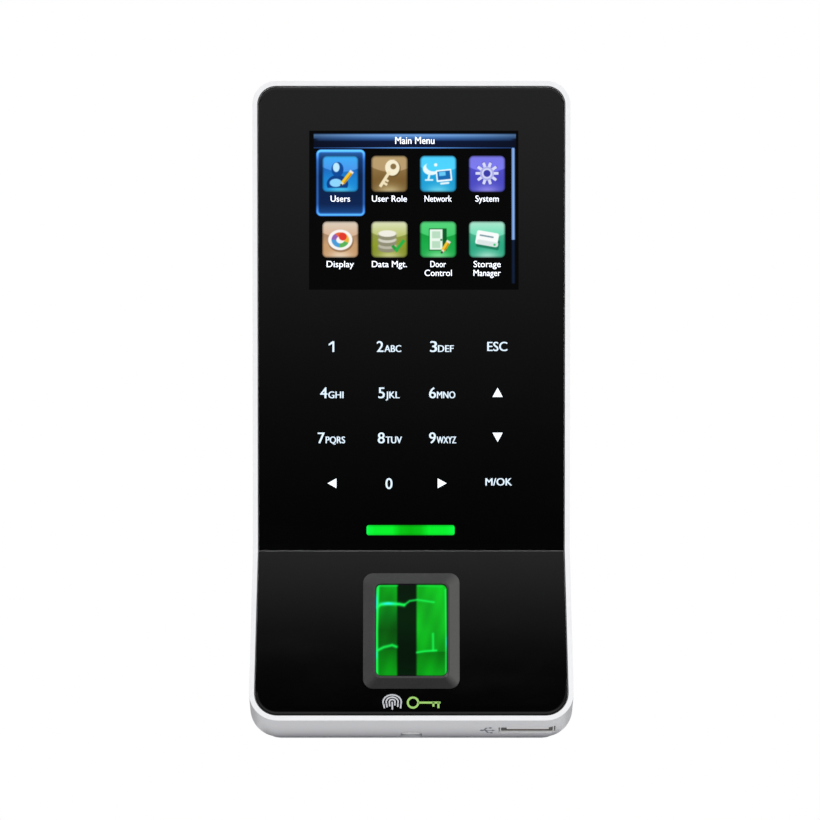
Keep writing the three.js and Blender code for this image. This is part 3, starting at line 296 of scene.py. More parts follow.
plastics = {
    "whiteHousing": dict(colour=(0.83, 0.835, 0.845), shade=0.03, driftScale=30.0, grainScale=5200.0,
                         grainDepth=0.000006, roughness=0.42, spread=0.08, wear=0.12,
                         wornColour=(0.7, 0.69, 0.67), dust=0.04, coat=0.15, coatRoughness=0.3,
                         # painted shade: the underside darkens toward the wall to a bluish dark grey
                         underShade=(-0.0185, -0.0012), underColour=(0.14, 0.14, 0.17),
                         # painted shade: faces turned from the front toward the side grey, and downward faces take a
                         # bluish shaded tint
                         facing=[((0, 1, 0), -0.85, -0.35, (0.58, 0.585, 0.6)),
                                 ((0, 0, -1), 0.6, 0.85, (0.83, 0.835, 0.86))]),
    "darkCover": dict(colour=(0.03, 0.031, 0.034), shade=0.12, driftScale=35.0, grainScale=2600.0,
                      grainDepth=0.00003, roughness=0.62, spread=0.18, wear=0.5,
                      wornColour=(0.12, 0.12, 0.125), dust=0.12),
    "bezelPlastic": dict(colour=(0.037, 0.037, 0.038), shade=0.18, driftScale=60.0, grainScale=2300.0,
                         grainDepth=0.00004, roughness=0.52, spread=0.16, wear=0.5,
                         wornColour=(0.2, 0.2, 0.205), dust=0.03,
                         # painted light on the slope facing right, painted shade on the slope facing down
                         facing=[((1, 0, 0), 0.08, 0.34, (0.082, 0.082, 0.077)),
                                 ((0, 0, -1), 0.0, 0.22, (0.005, 0.005, 0.005))]),
    "blackPlastic": dict(colour=(0.012, 0.012, 0.013), shade=0.15, driftScale=50.0, grainScale=3200.0,
                         grainDepth=0.00002, roughness=0.5, spread=0.15, wear=0.4,
                         wornColour=(0.06, 0.06, 0.065), dust=0.08),
    "blackEpoxy": dict(colour=(0.018, 0.018, 0.02), shade=0.1, driftScale=90.0, grainScale=6000.0,
                       grainDepth=0.00001, roughness=0.38, spread=0.12, wear=0.4,
                       wornColour=(0.1, 0.1, 0.1), dust=0.06),
    "ivoryPlastic": dict(colour=(0.78, 0.74, 0.63), shade=0.05, driftScale=70.0, grainScale=4000.0,
                         grainDepth=0.00001, roughness=0.42, spread=0.1, wear=0.2,
                         wornColour=(0.86, 0.84, 0.78), dust=0.1),
    "tonguePlastic": dict(colour=(0.045, 0.02, 0.014), shade=0.12, driftScale=90.0, grainScale=4200.0,
                          grainDepth=0.00001, roughness=0.45, spread=0.1, wear=0.3,
                          wornColour=(0.12, 0.08, 0.06), dust=0.04),
    "gasketRubber": dict(colour=(0.009, 0.009, 0.009), shade=0.2, driftScale=80.0, grainScale=3800.0,
                         grainDepth=0.00002, roughness=0.78, spread=0.1, wear=0.0, dust=0.15),
    "buttonPlastic": dict(colour=(0.55, 0.06, 0.04), shade=0.08, driftScale=120.0, grainScale=5200.0,
                          grainDepth=0.000008, roughness=0.4, spread=0.1, wear=0.3,
                          wornColour=(0.62, 0.2, 0.15), dust=0.05),
    "plungerPlastic": dict(colour=(0.7, 0.7, 0.68), shade=0.06, driftScale=120.0, grainScale=5200.0,
                           grainDepth=0.000008, roughness=0.45, spread=0.1, wear=0.3,
                           wornColour=(0.5, 0.5, 0.48), dust=0.08),
    "diffuserFilm": dict(colour=(0.8, 0.81, 0.82), shade=0.03, driftScale=30.0, grainScale=7000.0,
                         grainDepth=0.000005, roughness=0.6, spread=0.1, wear=0.0, dust=0.0),
    "insertPlastic": dict(colour=(0.86, 0.86, 0.85), shade=0.04, driftScale=90.0, grainScale=5000.0,
                          grainDepth=0.000006, roughness=0.4, spread=0.1, wear=0.2,
                          wornColour=(0.75, 0.74, 0.7), dust=0.04),
    "smallPart": dict(colour=(0.3, 0.2, 0.12), shade=0.2, driftScale=300.0, grainScale=6000.0,
                      grainDepth=0.000006, roughness=0.5, spread=0.12, wear=0.3,
                      wornColour=(0.45, 0.36, 0.26), dust=0.05),
    "speakerCone": dict(colour=(0.03, 0.03, 0.028), shade=0.25, driftScale=160.0, grainScale=1900.0,
                        grainDepth=0.00005, roughness=0.8, spread=0.15, wear=0.0, dust=0.1),
}
metals = {
    "zincPlate": dict(colour=(0.56, 0.575, 0.6), shade=0.05, driftScale=25.0, along=(50.0, 50.0, 2600.0),
                      roughness=0.36, spread=0.22, depth=0.000012, wear=0.5,
                      wornColour=(0.75, 0.76, 0.78), spangle=420.0),
    "screwSteel": dict(colour=(0.74, 0.74, 0.74), shade=0.06, driftScale=300.0, along=(2500.0, 2500.0, 2500.0),
                       roughness=0.3, spread=0.2, depth=0.000006, wear=0.7, wornColour=(0.8, 0.8, 0.8)),
    "tinCan": dict(colour=(0.66, 0.65, 0.62), shade=0.05, driftScale=80.0, along=(120.0, 3800.0, 3800.0),
                   roughness=0.28, spread=0.25, depth=0.000006, wear=0.6, wornColour=(0.84, 0.83, 0.8)),
    "cellSteel": dict(colour=(0.7, 0.69, 0.66), shade=0.04, driftScale=90.0, along=(3000.0, 3000.0, 150.0),
                      roughness=0.24, spread=0.2, depth=0.000004, wear=0.5, wornColour=(0.85, 0.85, 0.83)),
    "goldContact": dict(colour=(0.83, 0.6, 0.24), shade=0.05, driftScale=200.0, along=(3000.0, 200.0, 3000.0),
                        roughness=0.25, spread=0.15, depth=0.000003, wear=0.4, wornColour=(0.9, 0.75, 0.45)),
    "springSteel": dict(colour=(0.5, 0.49, 0.47), shade=0.08, driftScale=400.0, along=(4000.0, 4000.0, 4000.0),
                        roughness=0.32, spread=0.2, depth=0.000003, wear=0.4, wornColour=(0.75, 0.74, 0.72)),
}
finishes = {name: moulded(name, look) for name, look in plastics.items()}
finishes.update({name: metal(name, look) for name, look in metals.items()})

glassLook = {"colour": (0.0007, 0.0007, 0.0008), "shade": 0.3, "roughness": 0.035, "smear": 0.03}


def blackGlass():
    # glass painted black behind, with faint wiping marks in its gloss
    material, tree, shader = blank("blackGlass")
    colour = use(tree, toneDrift, {"Colour": rgba(glassLook["colour"]), "Shade": glassLook["shade"], "Scale": 12.0})
    place = addNode(tree, "TexCoord").outputs["Object"]
    swept = addNode(tree, "VectorMath", {0: place, 1: (35.0, 35.0, 90.0)}, operation="MULTIPLY").outputs[0]
    cloud = addNode(tree, "TexNoise", {"Vector": swept, "Scale": 1.0, "Detail": 5.0, "Roughness": 0.6}).outputs[0]
    smear = addNode(tree, "MapRange", {0: cloud, 1: 0.5, 2: 0.8, 3: glassLook["roughness"],
                                       4: glassLook["roughness"] + glassLook["smear"]}).outputs[0]
    tree.links.new(colour.outputs[0], shader.inputs["Base Color"])
    tree.links.new(smear, shader.inputs["Roughness"])
    ripple = addNode(tree, "TexNoise", {"Vector": place, "Scale": 22.0, "Detail": 1.0}).outputs[0]
    tree.links.new(bumpFrom(tree, ripple, 0.0000015), shader.inputs["Normal"])
    return material


boardLook = {"mask": (0.006, 0.07, 0.03), "track": (0.016, 0.13, 0.055), "pad": (0.5, 0.42, 0.2)}


def circuitBoard():
    # green solder mask with tracks under it and small tinned vias
    material, tree, shader = blank("circuitBoard")
    place = addNode(tree, "TexCoord").outputs["Object"]
    axes = addNode(tree, "SeparateXYZ", {0: place})
    flat = addNode(tree, "CombineXYZ", {0: axes.outputs[0], 1: axes.outputs[2]}).outputs[0]
    bricks = addNode(tree, "TexBrick", {
        "Vector": flat, "Scale": 1.0, "Mortar Size": 0.00014, "Brick Width": 0.0072, "Row Height": 0.0011,
        "Color1": rgba(boardLook["mask"]), "Color2": (0.007, 0.078, 0.034, 1), "Mortar": rgba(boardLook["track"])})
    dots = addNode(tree, "TexVoronoi", {"Vector": flat, "Scale": 260.0, "Randomness": 0.8})
    via = addNode(tree, "MapRange", {0: dots.outputs["Distance"], 1: 0.1, 2: 0.07}).outputs[0]
    drift = use(tree, toneDrift, {"Colour": bricks.outputs[0], "Shade": 0.12, "Scale": 60.0}).outputs[0]
    tree.links.new(mixColour(tree, via, drift, rgba(boardLook["pad"])), shader.inputs["Base Color"])
    grain = use(tree, mouldGrain, {"Scale": 5000.0, "Roughness": 0.34, "Spread": 0.1})
    tree.links.new(grain.outputs["Roughness"], shader.inputs["Roughness"])
    tree.links.new(bumpFrom(tree, bricks.outputs["Fac"], 0.00003), shader.inputs["Normal"])
    return material


def flexFilm():
    # amber film with copper tracks running along it
    material, tree, shader = blank("flexFilm")
    place = addNode(tree, "TexCoord").outputs["Object"]
    across = addNode(tree, "SeparateXYZ", {0: place}).outputs[0]
    wave = mathNode(tree, "SINE", mathNode(tree, "MULTIPLY", across, 2 * math.pi / (0.8 * mm)))
    mask = addNode(tree, "MapRange", {0: wave, 1: 0.0, 2: 0.35}).outputs[0]
    colour = mixColour(tree, mask, (0.34, 0.11, 0.015, 1), (0.62, 0.3, 0.08, 1))
    drift = use(tree, toneDrift, {"Colour": colour, "Shade": 0.12, "Scale": 90.0}).outputs[0]
    tree.links.new(drift, shader.inputs["Base Color"])
    grain = use(tree, mouldGrain, {"Scale": 5200.0, "Roughness": 0.3, "Spread": 0.12})
    tree.links.new(grain.outputs["Roughness"], shader.inputs["Roughness"])
    tree.links.new(bumpFrom(tree, mask, 0.00002), shader.inputs["Normal"])
    return material


def labelPaper():
    # blank printed label: a few grey rules and an empty block, and no words
    material, tree, shader = blank("labelPaper")
    low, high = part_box("rating_label")
    place = addNode(tree, "TexCoord").outputs["Object"]
    axes = addNode(tree, "SeparateXYZ", {0: place})
    across = addNode(tree, "MapRange", {0: axes.outputs[0], 1: low.x, 2: high.x}).outputs[0]
    upward = addNode(tree, "MapRange", {0: axes.outputs[2], 1: low.z, 2: high.z}).outputs[0]
    rows = mathNode(tree, "FRACT", mathNode(tree, "MULTIPLY", upward, 9.0))
    row = mathNode(tree, "MULTIPLY", mathNode(tree, "GREATER_THAN", rows, 0.35), mathNode(tree, "LESS_THAN", rows, 0.6))
    inside = mathNode(tree, "MULTIPLY", mathNode(tree, "GREATER_THAN", across, 0.08), mathNode(tree, "LESS_THAN", across, 0.62))
    level = mathNode(tree, "MULTIPLY", mathNode(tree, "GREATER_THAN", upward, 0.12), mathNode(tree, "LESS_THAN", upward, 0.88))
    bars = mathNode(tree, "MULTIPLY", mathNode(tree, "MULTIPLY", row, inside), level)
    block = mathNode(tree, "MULTIPLY", mathNode(tree, "GREATER_THAN", across, 0.7), mathNode(tree, "LESS_THAN", across, 0.92))
    tall = mathNode(tree, "MULTIPLY", mathNode(tree, "GREATER_THAN", upward, 0.3), mathNode(tree, "LESS_THAN", upward, 0.7))
    ink = mathNode(tree, "MAXIMUM", bars, mathNode(tree, "MULTIPLY", block, tall))
    colour = mixColour(tree, ink, (0.78, 0.78, 0.76, 1), (0.3, 0.3, 0.31, 1))
    drift = use(tree, toneDrift, {"Colour": colour, "Shade": 0.05, "Scale": 60.0}).outputs[0]
    tree.links.new(drift, shader.inputs["Base Color"])
    grain = use(tree, mouldGrain, {"Scale": 4200.0, "Roughness": 0.55, "Spread": 0.1})
    tree.links.new(grain.outputs["Roughness"], shader.inputs["Roughness"])
    tree.links.new(bumpFrom(tree, grain.outputs["Height"], 0.000008), shader.inputs["Normal"])
    return material


def glowing(name, colour, strength, roughness=0.3, shade=0.15, scale=200.0):
    # light shining through a clear or frosted piece
    material, tree, shader = blank(name)
    lit = use(tree, toneDrift, {"Colour": rgba(colour), "Shade": shade, "Scale": scale}).outputs[0]
    tree.links.new(lit, shader.inputs["Emission Color"])
    tree.links.new(lit, shader.inputs["Base Color"])
    shader.inputs["Emission Strength"].default_value = strength
    grain = use(tree, mouldGrain, {"Scale": 4200.0, "Roughness": roughness, "Spread": 0.1})
    tree.links.new(grain.outputs["Roughness"], shader.inputs["Roughness"])
    return material


def painted(name, strength, base, roughness, specular, coat=0.0):
    # reads the colours stored in a patch of art and shows them lit from behind
    material, tree, shader = blank(name)
    tint = addNode(tree, "Attribute", attribute_name="tint").outputs["Color"]
    tree.links.new(tint, shader.inputs["Emission Color"])
    shader.inputs["Emission Strength"].default_value = strength
    dim = mixColour(tree, 1.0, tint, (base, base, base, 1), "MULTIPLY")
    tree.links.new(dim, shader.inputs["Base Color"])
    grain = use(tree, mouldGrain, {"Scale": 6000.0, "Roughness": roughness, "Spread": 0.05})
    tree.links.new(grain.outputs["Roughness"], shader.inputs["Roughness"])
    shader.inputs["Specular IOR Level"].default_value = specular
    shader.inputs["Coat Weight"].default_value = coat
    return material


def clearGlass(name, tintColour, weight):
    material, tree, shader = blank(name)
    lit = use(tree, toneDrift, {"Colour": rgba(tintColour), "Shade": 0.1, "Scale": 120.0}).outputs[0]
    tree.links.new(lit, shader.inputs["Base Color"])
    shader.inputs["Transmission Weight"].default_value = weight
    smear = use(tree, mouldGrain, {"Scale": 900.0, "Roughness": 0.05, "Spread": 0.06})
    tree.links.new(smear.outputs["Roughness"], shader.inputs["Roughness"])
    return material


finishes["blackGlass"] = blackGlass()
finishes["circuitBoard"] = circuitBoard()
finishes["flexFilm"] = flexFilm()
finishes["labelPaper"] = labelPaper()
finishes["lightGuide"] = glowing("lightGuide", (0.02, 0.55, 0.06), 1.0)
finishes["ledBody"] = glowing("ledBody", (0.05, 0.7, 0.1), 1.4)
finishes["keyInk"] = glowing("keyInk", (0.5, 0.6, 0.68), 0.62, 0.5, 0.06, 900.0)
finishes["brightInk"] = glowing("brightInk", (0.72, 0.78, 0.82), 0.75, 0.5, 0.05, 900.0)
finishes["screenInk"] = glowing("screenInk", (0.78, 0.82, 0.9), 0.9, 0.5, 0.03, 900.0)
finishes["screenArt"] = painted("screenArt", 1.0, 0.02, 0.6, 0.05)
finishes["lightArt"] = painted("lightArt", 1.0, 0.02, 0.4, 0.05)
finishes["sensorArt"] = painted("sensorArt", 1.0, 0.02, 0.1, 0.12, 0.0)
finishes["prismGlass"] = clearGlass("prismGlass", (0.2, 0.85, 0.3), 0.85)
finishes["lensGlass"] = clearGlass("lensGlass", (0.6, 0.65, 0.75), 0.7)
finishes["mirrorGlass"] = metal("mirrorGlass", dict(
    colour=(0.85, 0.87, 0.88), shade=0.03, driftScale=50.0, along=(40.0, 40.0, 40.0), roughness=0.04,
    spread=0.04, depth=0.000001, wear=0.1, wornColour=(0.6, 0.6, 0.6)))
finishes["silverInk"] = metal("silverInk", dict(
    colour=(0.62, 0.64, 0.68), shade=0.05, driftScale=400.0, along=(900.0, 5000.0, 5000.0), roughness=0.42,
    spread=0.2, depth=0.000004, wear=0.2, wornColour=(0.8, 0.8, 0.82), metallic=0.25))
finishes["greenInk"] = moulded("greenInk", dict(
    colour=(0.33, 0.62, 0.13), shade=0.06, driftScale=300.0, grainScale=5000.0, grainDepth=0.000004,
    roughness=0.4, spread=0.1, wear=0.0, dust=0.0))
finishes["greyInk"] = moulded("greyInk", dict(
    colour=(0.16, 0.175, 0.22), shade=0.08, driftScale=300.0, grainScale=5000.0, grainDepth=0.000004,
    roughness=0.5, spread=0.1, wear=0.0, dust=0.0))
print("finishes made:", len(finishes))


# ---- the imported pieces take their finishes, and soft edges where they show

nodeFinish = {
    "whiteHousing": ["front_housing"],
    "darkCover": ["rear_cover"],
    "zincPlate": ["wall_plate"],
    "blackGlass": ["front_glass", "lower_fascia"],
    "screwSteel": ["security_screw"] + [f"{kind}_screw_{i}" for kind in ("board", "case") for i in (1, 2, 3, 4)],
    "lightGuide": ["status_light_guide"],
    "ledBody": ["status_led_1", "status_led_2", "status_led_3"],
    "labelPaper": ["rating_label"],
    "tinCan": ["lcd_panel", "processor_shield", "usb_socket_shell"],
    "blackPlastic": ["lcd_tray", "sensor_carrier", "tamper_switch", "reset_switch", "coin_cell_holder"],
    "flexFilm": ["lcd_flex", "keypad_flex", "sensor_flex", "card_antenna"],
    "diffuserFilm": ["keypad_light_film"],
    "circuitBoard": ["keypad_board", "sensor_camera_board", "sensor_led_board", "main_board", "usb_board"],
    "bezelPlastic": ["sensor_bezel"],
    "gasketRubber": ["sensor_gasket"],
    "prismGlass": ["sensor_prism"],
    "mirrorGlass": ["sensor_mirror"],
    "lensGlass": ["sensor_lens"],
    "blackEpoxy": ["network_transformer", "buzzer", "relay"],
    "cellSteel": ["coin_cell"],
    "speakerCone": ["speaker"],
    "ivoryPlastic": ["power_connector", "lock_connector", "reader_connector", "network_connector"],
    "tonguePlastic": ["usb_tongue"],
    "plungerPlastic": ["tamper_plunger"],
    "springSteel": ["tamper_spring"],
    "buttonPlastic": ["reset_button"],
}
for finish, names in nodeFinish.items():
    for name in names:
        nodes[name].material_slots[0].material = finishes[finish]

softEdges = {  # width in mm, segments
    "front_housing": (0.5, 3), "front_glass": (0.7, 4), "lower_fascia": (0.7, 4), "sensor_bezel": (0.22, 2),
    "rear_cover": (0.2, 2), "wall_plate": (0.15, 2), "security_screw": (0.08, 2), "usb_socket_shell": (0.08, 2),
    "usb_tongue": (0.1, 2), "power_connector": (0.12, 2), "lock_connector": (0.12, 2),
    "reader_connector": (0.12, 2), "network_connector": (0.12, 2), "main_board": (0.08, 1),
    "tamper_plunger": (0.12, 2), "reset_button": (0.12, 2), "sensor_gasket": (0.1, 2),
}


def softenEdges(name, width, segments):
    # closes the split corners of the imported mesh, then rounds its sharp edges
    piece = nodes[name]
    for face in piece.data.polygons:
        face.use_smooth = True
    weld = piece.modifiers.new("closeCorners", "WELD")
    weld.merge_threshold = 0.002 * mm
    turn = math.radians(16 if name == "sensor_bezel" else 38)
    rounder = piece.modifiers.new("softEdges", "BEVEL")
    rounder.width = width * mm
    rounder.segments = segments
    rounder.limit_method = "ANGLE"
    rounder.angle_limit = turn
    rounder.use_clamp_overlap = True
    if name in ("front_glass", "lower_fascia", "wall_plate"):
        flatten = piece.modifiers.new("wholeFaces", "DECIMATE")
        flatten.decimate_type = "DISSOLVE"
        flatten.angle_limit = math.radians(1)
        piece.modifiers.move(2, 1)
    if name in ("front_glass", "lower_fascia"):
        # only the front rim is rounded: the fold and the sensor's opening stay crisp
        group = piece.vertex_groups.new(name="rim")
        face = upperFace if name == "front_glass" else lowerFace
        flat = [(v.index, face.inverted() @ v.co) for v in piece.data.vertices]
        chosen = [i for i, p in flat if abs(p.z) < 0.05 * mm and abs(p.y) > 0.4 * mm
                  and (name == "front_glass" or abs(p.x) > 12.5 * mm or p.y < -36 * mm)]
        group.add(chosen, 1.0, "REPLACE")
        rounder.limit_method = "VGROUP"
        rounder.vertex_group = "rim"
    splitter = piece.modifiers.new("crispEdges", "EDGE_SPLIT")
    splitter.split_angle = turn
    shading = piece.modifiers.new("evenShading", "WEIGHTED_NORMAL")
    shading.keep_sharp = True
    shading.weight = 80


for name, (width, segments) in softEdges.items():
    softenEdges(name, width, segments)
print("packed pieces finished")


# ---- making flat art and small fittings

def place(name, mesh, finish, slotName, rides=body):
    piece = bpy.data.objects.new(name, mesh)
    scene.collection.objects.link(piece)
    if not mesh.materials:
        mesh.materials.append(finishes[finish])
    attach(piece, rides)
    return piece


def inkShape(name, loops, face, lift, thick, finish, slotName):
    # closed outlines in mm on a face, given a thin printed thickness
    shape = bmesh.new()
    for loop in loops:
        corners = [shape.verts.new((x * mm, y * mm, lift * mm)) for x, y in loop]
        shape.faces.new(corners)
    bmesh.ops.triangulate(shape, faces=shape.faces[:])
    raised = bmesh.ops.extrude_face_region(shape, geom=shape.faces[:])
    up = [v for v in raised["geom"] if isinstance(v, bmesh.types.BMVert)]
    bmesh.ops.translate(shape, verts=up, vec=(0, 0, thick * mm))
    bmesh.ops.recalc_face_normals(shape, faces=shape.faces[:])
    shape.transform(face)
    mesh = bpy.data.meshes.new(name)
    shape.to_mesh(mesh)
    shape.free()
    return place(name, mesh, finish, slotName)


def stroke(points, width, closed=False):
    # one outline that follows a line of points
    pts = [Vector(p) for p in points]
    left, right = [], []
    count = len(pts)
    for i, p in enumerate(pts):
        before = pts[(i - 1) % count] if closed or i else p
        after = pts[(i + 1) % count] if closed or i < count - 1 else p
        along = (after - before).normalized()
        side = Vector((-along.y, along.x)) * width / 2
        left.append(tuple(p + side))
        right.append(tuple(p - side))
    return left, right


def band(points, width):
    left, right = stroke(points, width)
    return [[left[i], right[i], right[i + 1], left[i + 1]] for i in range(len(left) - 1)]


def arc(x, y, rx, ry, start, end, steps=18):
    angles = [math.radians(start + (end - start) * i / steps) for i in range(steps + 1)]
    return [(x + rx * math.cos(a), y + ry * math.sin(a)) for a in angles]


def wordShapes(words):
    # flat outlines of a word in the plain built-in face
    curve = bpy.data.curves.new("word", "FONT")
    curve.body = words
    curve.resolution_u = 4
    holder = bpy.data.objects.new("word", curve)
    scene.collection.objects.link(holder)
    bpy.context.view_layer.update()
    mesh = bpy.data.meshes.new_from_object(holder.evaluated_get(bpy.context.evaluated_depsgraph_get()))
    bpy.data.objects.remove(holder)
    bpy.data.curves.remove(curve)
    return mesh


def capitalHeight():
    mesh = wordShapes("H")
    height = max(v.co.y for v in mesh.vertices)
    bpy.data.meshes.remove(mesh)
    return height


capital = capitalHeight()


def word(name, parts, face, lift, thick, finish, slotName):
    # parts: (words, left, foot, right, top of a capital, bold) in mm
    shape = bmesh.new()
    for words, x0, y0, x1, y1, bold in parts:
        mesh = wordShapes(words)
        co = np.array([v.co[:] for v in mesh.vertices])
        left, right = co[:, 0].min(), co[:, 0].max()
        co[:, 0] = (co[:, 0] - left) / (right - left) * (x1 - x0) + x0
        co[:, 1] = co[:, 1] / capital * (y1 - y0) + y0
        for i, shift in enumerate((-bold, bold) if bold else (0,)):
            height = lift + 0.002 * i
            corners = [shape.verts.new(((x + shift) * mm, y * mm, height * mm)) for x, y in co[:, :2]]
            for polygon in mesh.polygons:
                try:
                    shape.faces.new([corners[i] for i in polygon.vertices])
                except ValueError:
                    pass
        bpy.data.meshes.remove(mesh)
    raised = bmesh.ops.extrude_face_region(shape, geom=shape.faces[:])
    up = [v for v in raised["geom"] if isinstance(v, bmesh.types.BMVert)]
    bmesh.ops.translate(shape, verts=up, vec=(0, 0, thick * mm))
    bmesh.ops.recalc_face_normals(shape, faces=shape.faces[:])
    shape.transform(face)
    made = bpy.data.meshes.new(name)
    shape.to_mesh(made)
    shape.free()
    return place(name, made, finish, slotName)


def toLinear(colour):
    colour = np.clip(colour, 0, 1)
    return np.where(colour <= 0.04045, colour / 12.92, ((colour + 0.055) / 1.055) ** 2.4)


def hexColour(code):
    return np.array([int(code[i:i + 2], 16) for i in (0, 2, 4)]) / 255


def patch(name, x0, y0, x1, y1, radius, step, paint, face, lift, finish, slotName):
    # a fine grid with round corners whose points carry the colours that paint(u, v) gives;
    # u and v are in mm from the middle of the patch
    halfX, halfY = (x1 - x0) / 2, (y1 - y0) / 2
    columns, rows = max(2, round((x1 - x0) / step)), max(2, round((y1 - y0) / step))
    v = np.linspace(-halfY, halfY, rows + 1)
    if radius:
        bend = np.linspace(0, math.pi / 2, 7)
        ends = halfY - radius + radius * np.sin(bend)
        v = np.unique(np.round(np.concatenate([v[np.abs(v) < halfY - radius], ends, -ends]), 6))
    deep = np.clip(np.abs(v) - (halfY - radius), 0, radius)
    width = halfX - radius + np.sqrt(np.maximum(radius ** 2 - deep ** 2, 0)) if radius else np.full(len(v), halfX)
    across = np.linspace(-1, 1, columns + 1)
    gridU = width[:, None] * across[None, :]
    gridV = np.repeat(v[:, None], columns + 1, axis=1)
    u, w = gridU.ravel(), gridV.ravel()
    points = np.stack([(u + (x0 + x1) / 2) * mm, (w + (y0 + y1) / 2) * mm, np.full(len(u), lift * mm)], 1)
    wide = columns + 1
    first = (np.arange(len(v) - 1)[:, None] * wide + np.arange(columns)[None, :]).ravel()
    faces = np.stack([first, first + 1, first + wide + 1, first + wide], 1)
    mesh = bpy.data.meshes.new(name)
    mesh.from_pydata(points.tolist(), [], faces.tolist())
    mesh.transform(face)
    tint = mesh.color_attributes.new("tint", "FLOAT_COLOR", "POINT")
    colours = np.ones((len(u), 4), np.float32)
    colours[:, :3] = toLinear(paint(u, w))
    tint.data.foreach_set("color", colours.ravel())
    mesh.update()
    return place(name, mesh, finish, slotName)


# painting helpers: soft-edged masks in mm
def soft(distance, blur=0.09):
    return np.clip(0.5 - distance / (2 * blur), 0, 1)[:, None]


def disc(u, v, x, y, rx, ry=None):
    ry = ry or rx
    reach = np.sqrt(((u - x) / rx) ** 2 + ((v - y) / ry) ** 2)
    return soft((reach - 1) * min(rx, ry))


def box(u, v, x, y, w, h, r=0.0, turn=0.0):
    c, s = math.cos(math.radians(turn)), math.sin(math.radians(turn))
    a = np.abs((u - x) * c + (v - y) * s) - (w / 2 - r)
    b = np.abs((v - y) * c - (u - x) * s) - (h / 2 - r)
    away = np.sqrt(np.maximum(a, 0) ** 2 + np.maximum(b, 0) ** 2) + np.minimum(np.maximum(a, b), 0) - r
    return soft(away)


def over(under, colour, mask):
    colour = hexColour(colour) if isinstance(colour, str) else colour
    return under * (1 - mask) + colour * mask


def fade(t, stops):
    # colours between stops given as (place, hex)
    places = [p for p, c in stops]
    colours = np.array([hexColour(c) for p, c in stops])
    return np.stack([np.interp(t, places, colours[:, i]) for i in range(3)], 1)


# ---- the display

display = {
    "window": (-24.79, 63.49, 26.0, 102.39),
    "titleBar": (-23.69, 98.35, 25.39, 101.63),
    "rule": (-23.69, 98.05, 25.1, 98.3),
    "scroll": (24.3, 65.0, 25.15, 98.19),
    "scrollEnd": 75.69,
    "selected": (-23.11, 81.45, -11.18, 97.78),
    "columns": [(-21.58, -12.86), (-9.74, -0.9), (2.09, 10.94), (13.97, 22.77)],
    "rows": [(87.36, 96.25), (71.31, 80.19)],
    "labels": [["Users", "User Role", "Network", "System"], ["Display", "Data Mgt.", "Door", "Storage"]],
    "below": [None, None, "Control", "Manager"],
    "tileRadius": 1.15, "lift": 0.03, "step": 0.13,
}


def paintWindow(u, v):
    return fade(v, [(-19.5, "020202"), (19.5, "030303")])


def paintTitle(u, v):
    high = np.clip((v + 1.64) / 3.28, 0, 1)
    colour = fade(high, [(0, "0a1430"), (0.45, "0b1838"), (0.5, "1f3f74"), (0.75, "4f82c4"), (0.9, "7aa8e0"), (1, "35609a")])
    corner = np.clip((np.abs(u) - 23.2) / 1.4, 0, 1)[:, None]
    side = 1 - 0.35 * np.clip(np.abs(u) / 24, 0, 1)[:, None] ** 2
    return over(colour * side, "060d20", corner * (high < 0.62)[:, None])


def paintRule(u, v):
    glow = np.exp(-(u / 15) ** 2)[:, None]
    return hexColour("163060") * (1 - glow) + hexColour("5f9bea") * glow


def paintScroll(u, v):
    handle = (v > display["scrollEnd"] - (display["scroll"][1] + display["scroll"][3]) / 2)[:, None]
    round_ = 1 - 0.45 * np.abs(u / 0.43)[:, None]
    return np.where(handle, hexColour("8dbbff") * round_, hexColour("10203c") * round_)


def paintSelected(u, v):
    halfX, halfY, r = 5.96, 8.16, 1.2
    a, b = np.abs(u) - (halfX - r), np.abs(v) - (halfY - r)
    away = np.sqrt(np.maximum(a, 0) ** 2 + np.maximum(b, 0) ** 2) + np.minimum(np.maximum(a, b), 0) - r
    colour = fade((v + halfY) / (2 * halfY), [(0, "1c4f92"), (0.18, "0b2450"), (0.6, "0a1f45"), (0.85, "12376e"), (1, "2f6fb8")])
    ends = np.clip((np.abs(v) - 5.2) / 2.8, 0, 1)[:, None]
    rim = np.exp(-((away + 0.35) / 0.28) ** 2)[:, None]
    return colour + rim * (hexColour("3f86d8") * 0.5 + ends * hexColour("7fb8f0") * 0.35)


def tileBase(u, v, colours):
    high = np.clip((v + 4.45) / 8.9, 0, 1)
    colour = fade(high, [(0, colours[0]), (0.35, colours[1]), (0.62, colours[2]), (1, colours[3])])
    bow = 0.35 + 0.055 * u ** 2 - 0.04 * u
    gloss = np.clip((v - bow) / 0.25, 0, 1) * np.clip(1.25 - v / 5, 0, 1)
    colour = colour + gloss[:, None] * 0.17
    glow = np.exp(-((u / 3.2) ** 2 + ((v + 4.6) / 1.9) ** 2))[:, None]
    return over(colour, colours[4], glow * 0.75)


def tileEdge(u, v, colour):
    a, b = np.abs(u) - 3.3, np.abs(v) - 3.35
    away = np.sqrt(np.maximum(a, 0) ** 2 + np.maximum(b, 0) ** 2) + np.minimum(np.maximum(a, b), 0) - 1.15
    return colour * (1 - 0.45 * np.exp(-((away + 0.05) / 0.3) ** 2)[:, None])


def pencil(u, v, colour, x, y, length, turn):
    c, s = math.cos(math.radians(turn)), math.sin(math.radians(turn))
    along, across = (u - x) * c + (v - y) * s, (v - y) * c - (u - x) * s
    colour = over(colour, "f3c62c", box(along, across, 0, 0, length, 1.0))
    colour = over(colour, "c98a10", box(along, across, 0, -0.3, length, 0.35))
    colour = over(colour, "f6e8c8", box(along, across, -length / 2 - 0.25, 0, 0.6, 0.6))
    colour = over(colour, "38302a", disc(along, across, -length / 2 - 0.6, 0, 0.26))
    return over(colour, "e8e8ee", box(along, across, length / 2 - 0.2, 0, 0.5, 1.0))


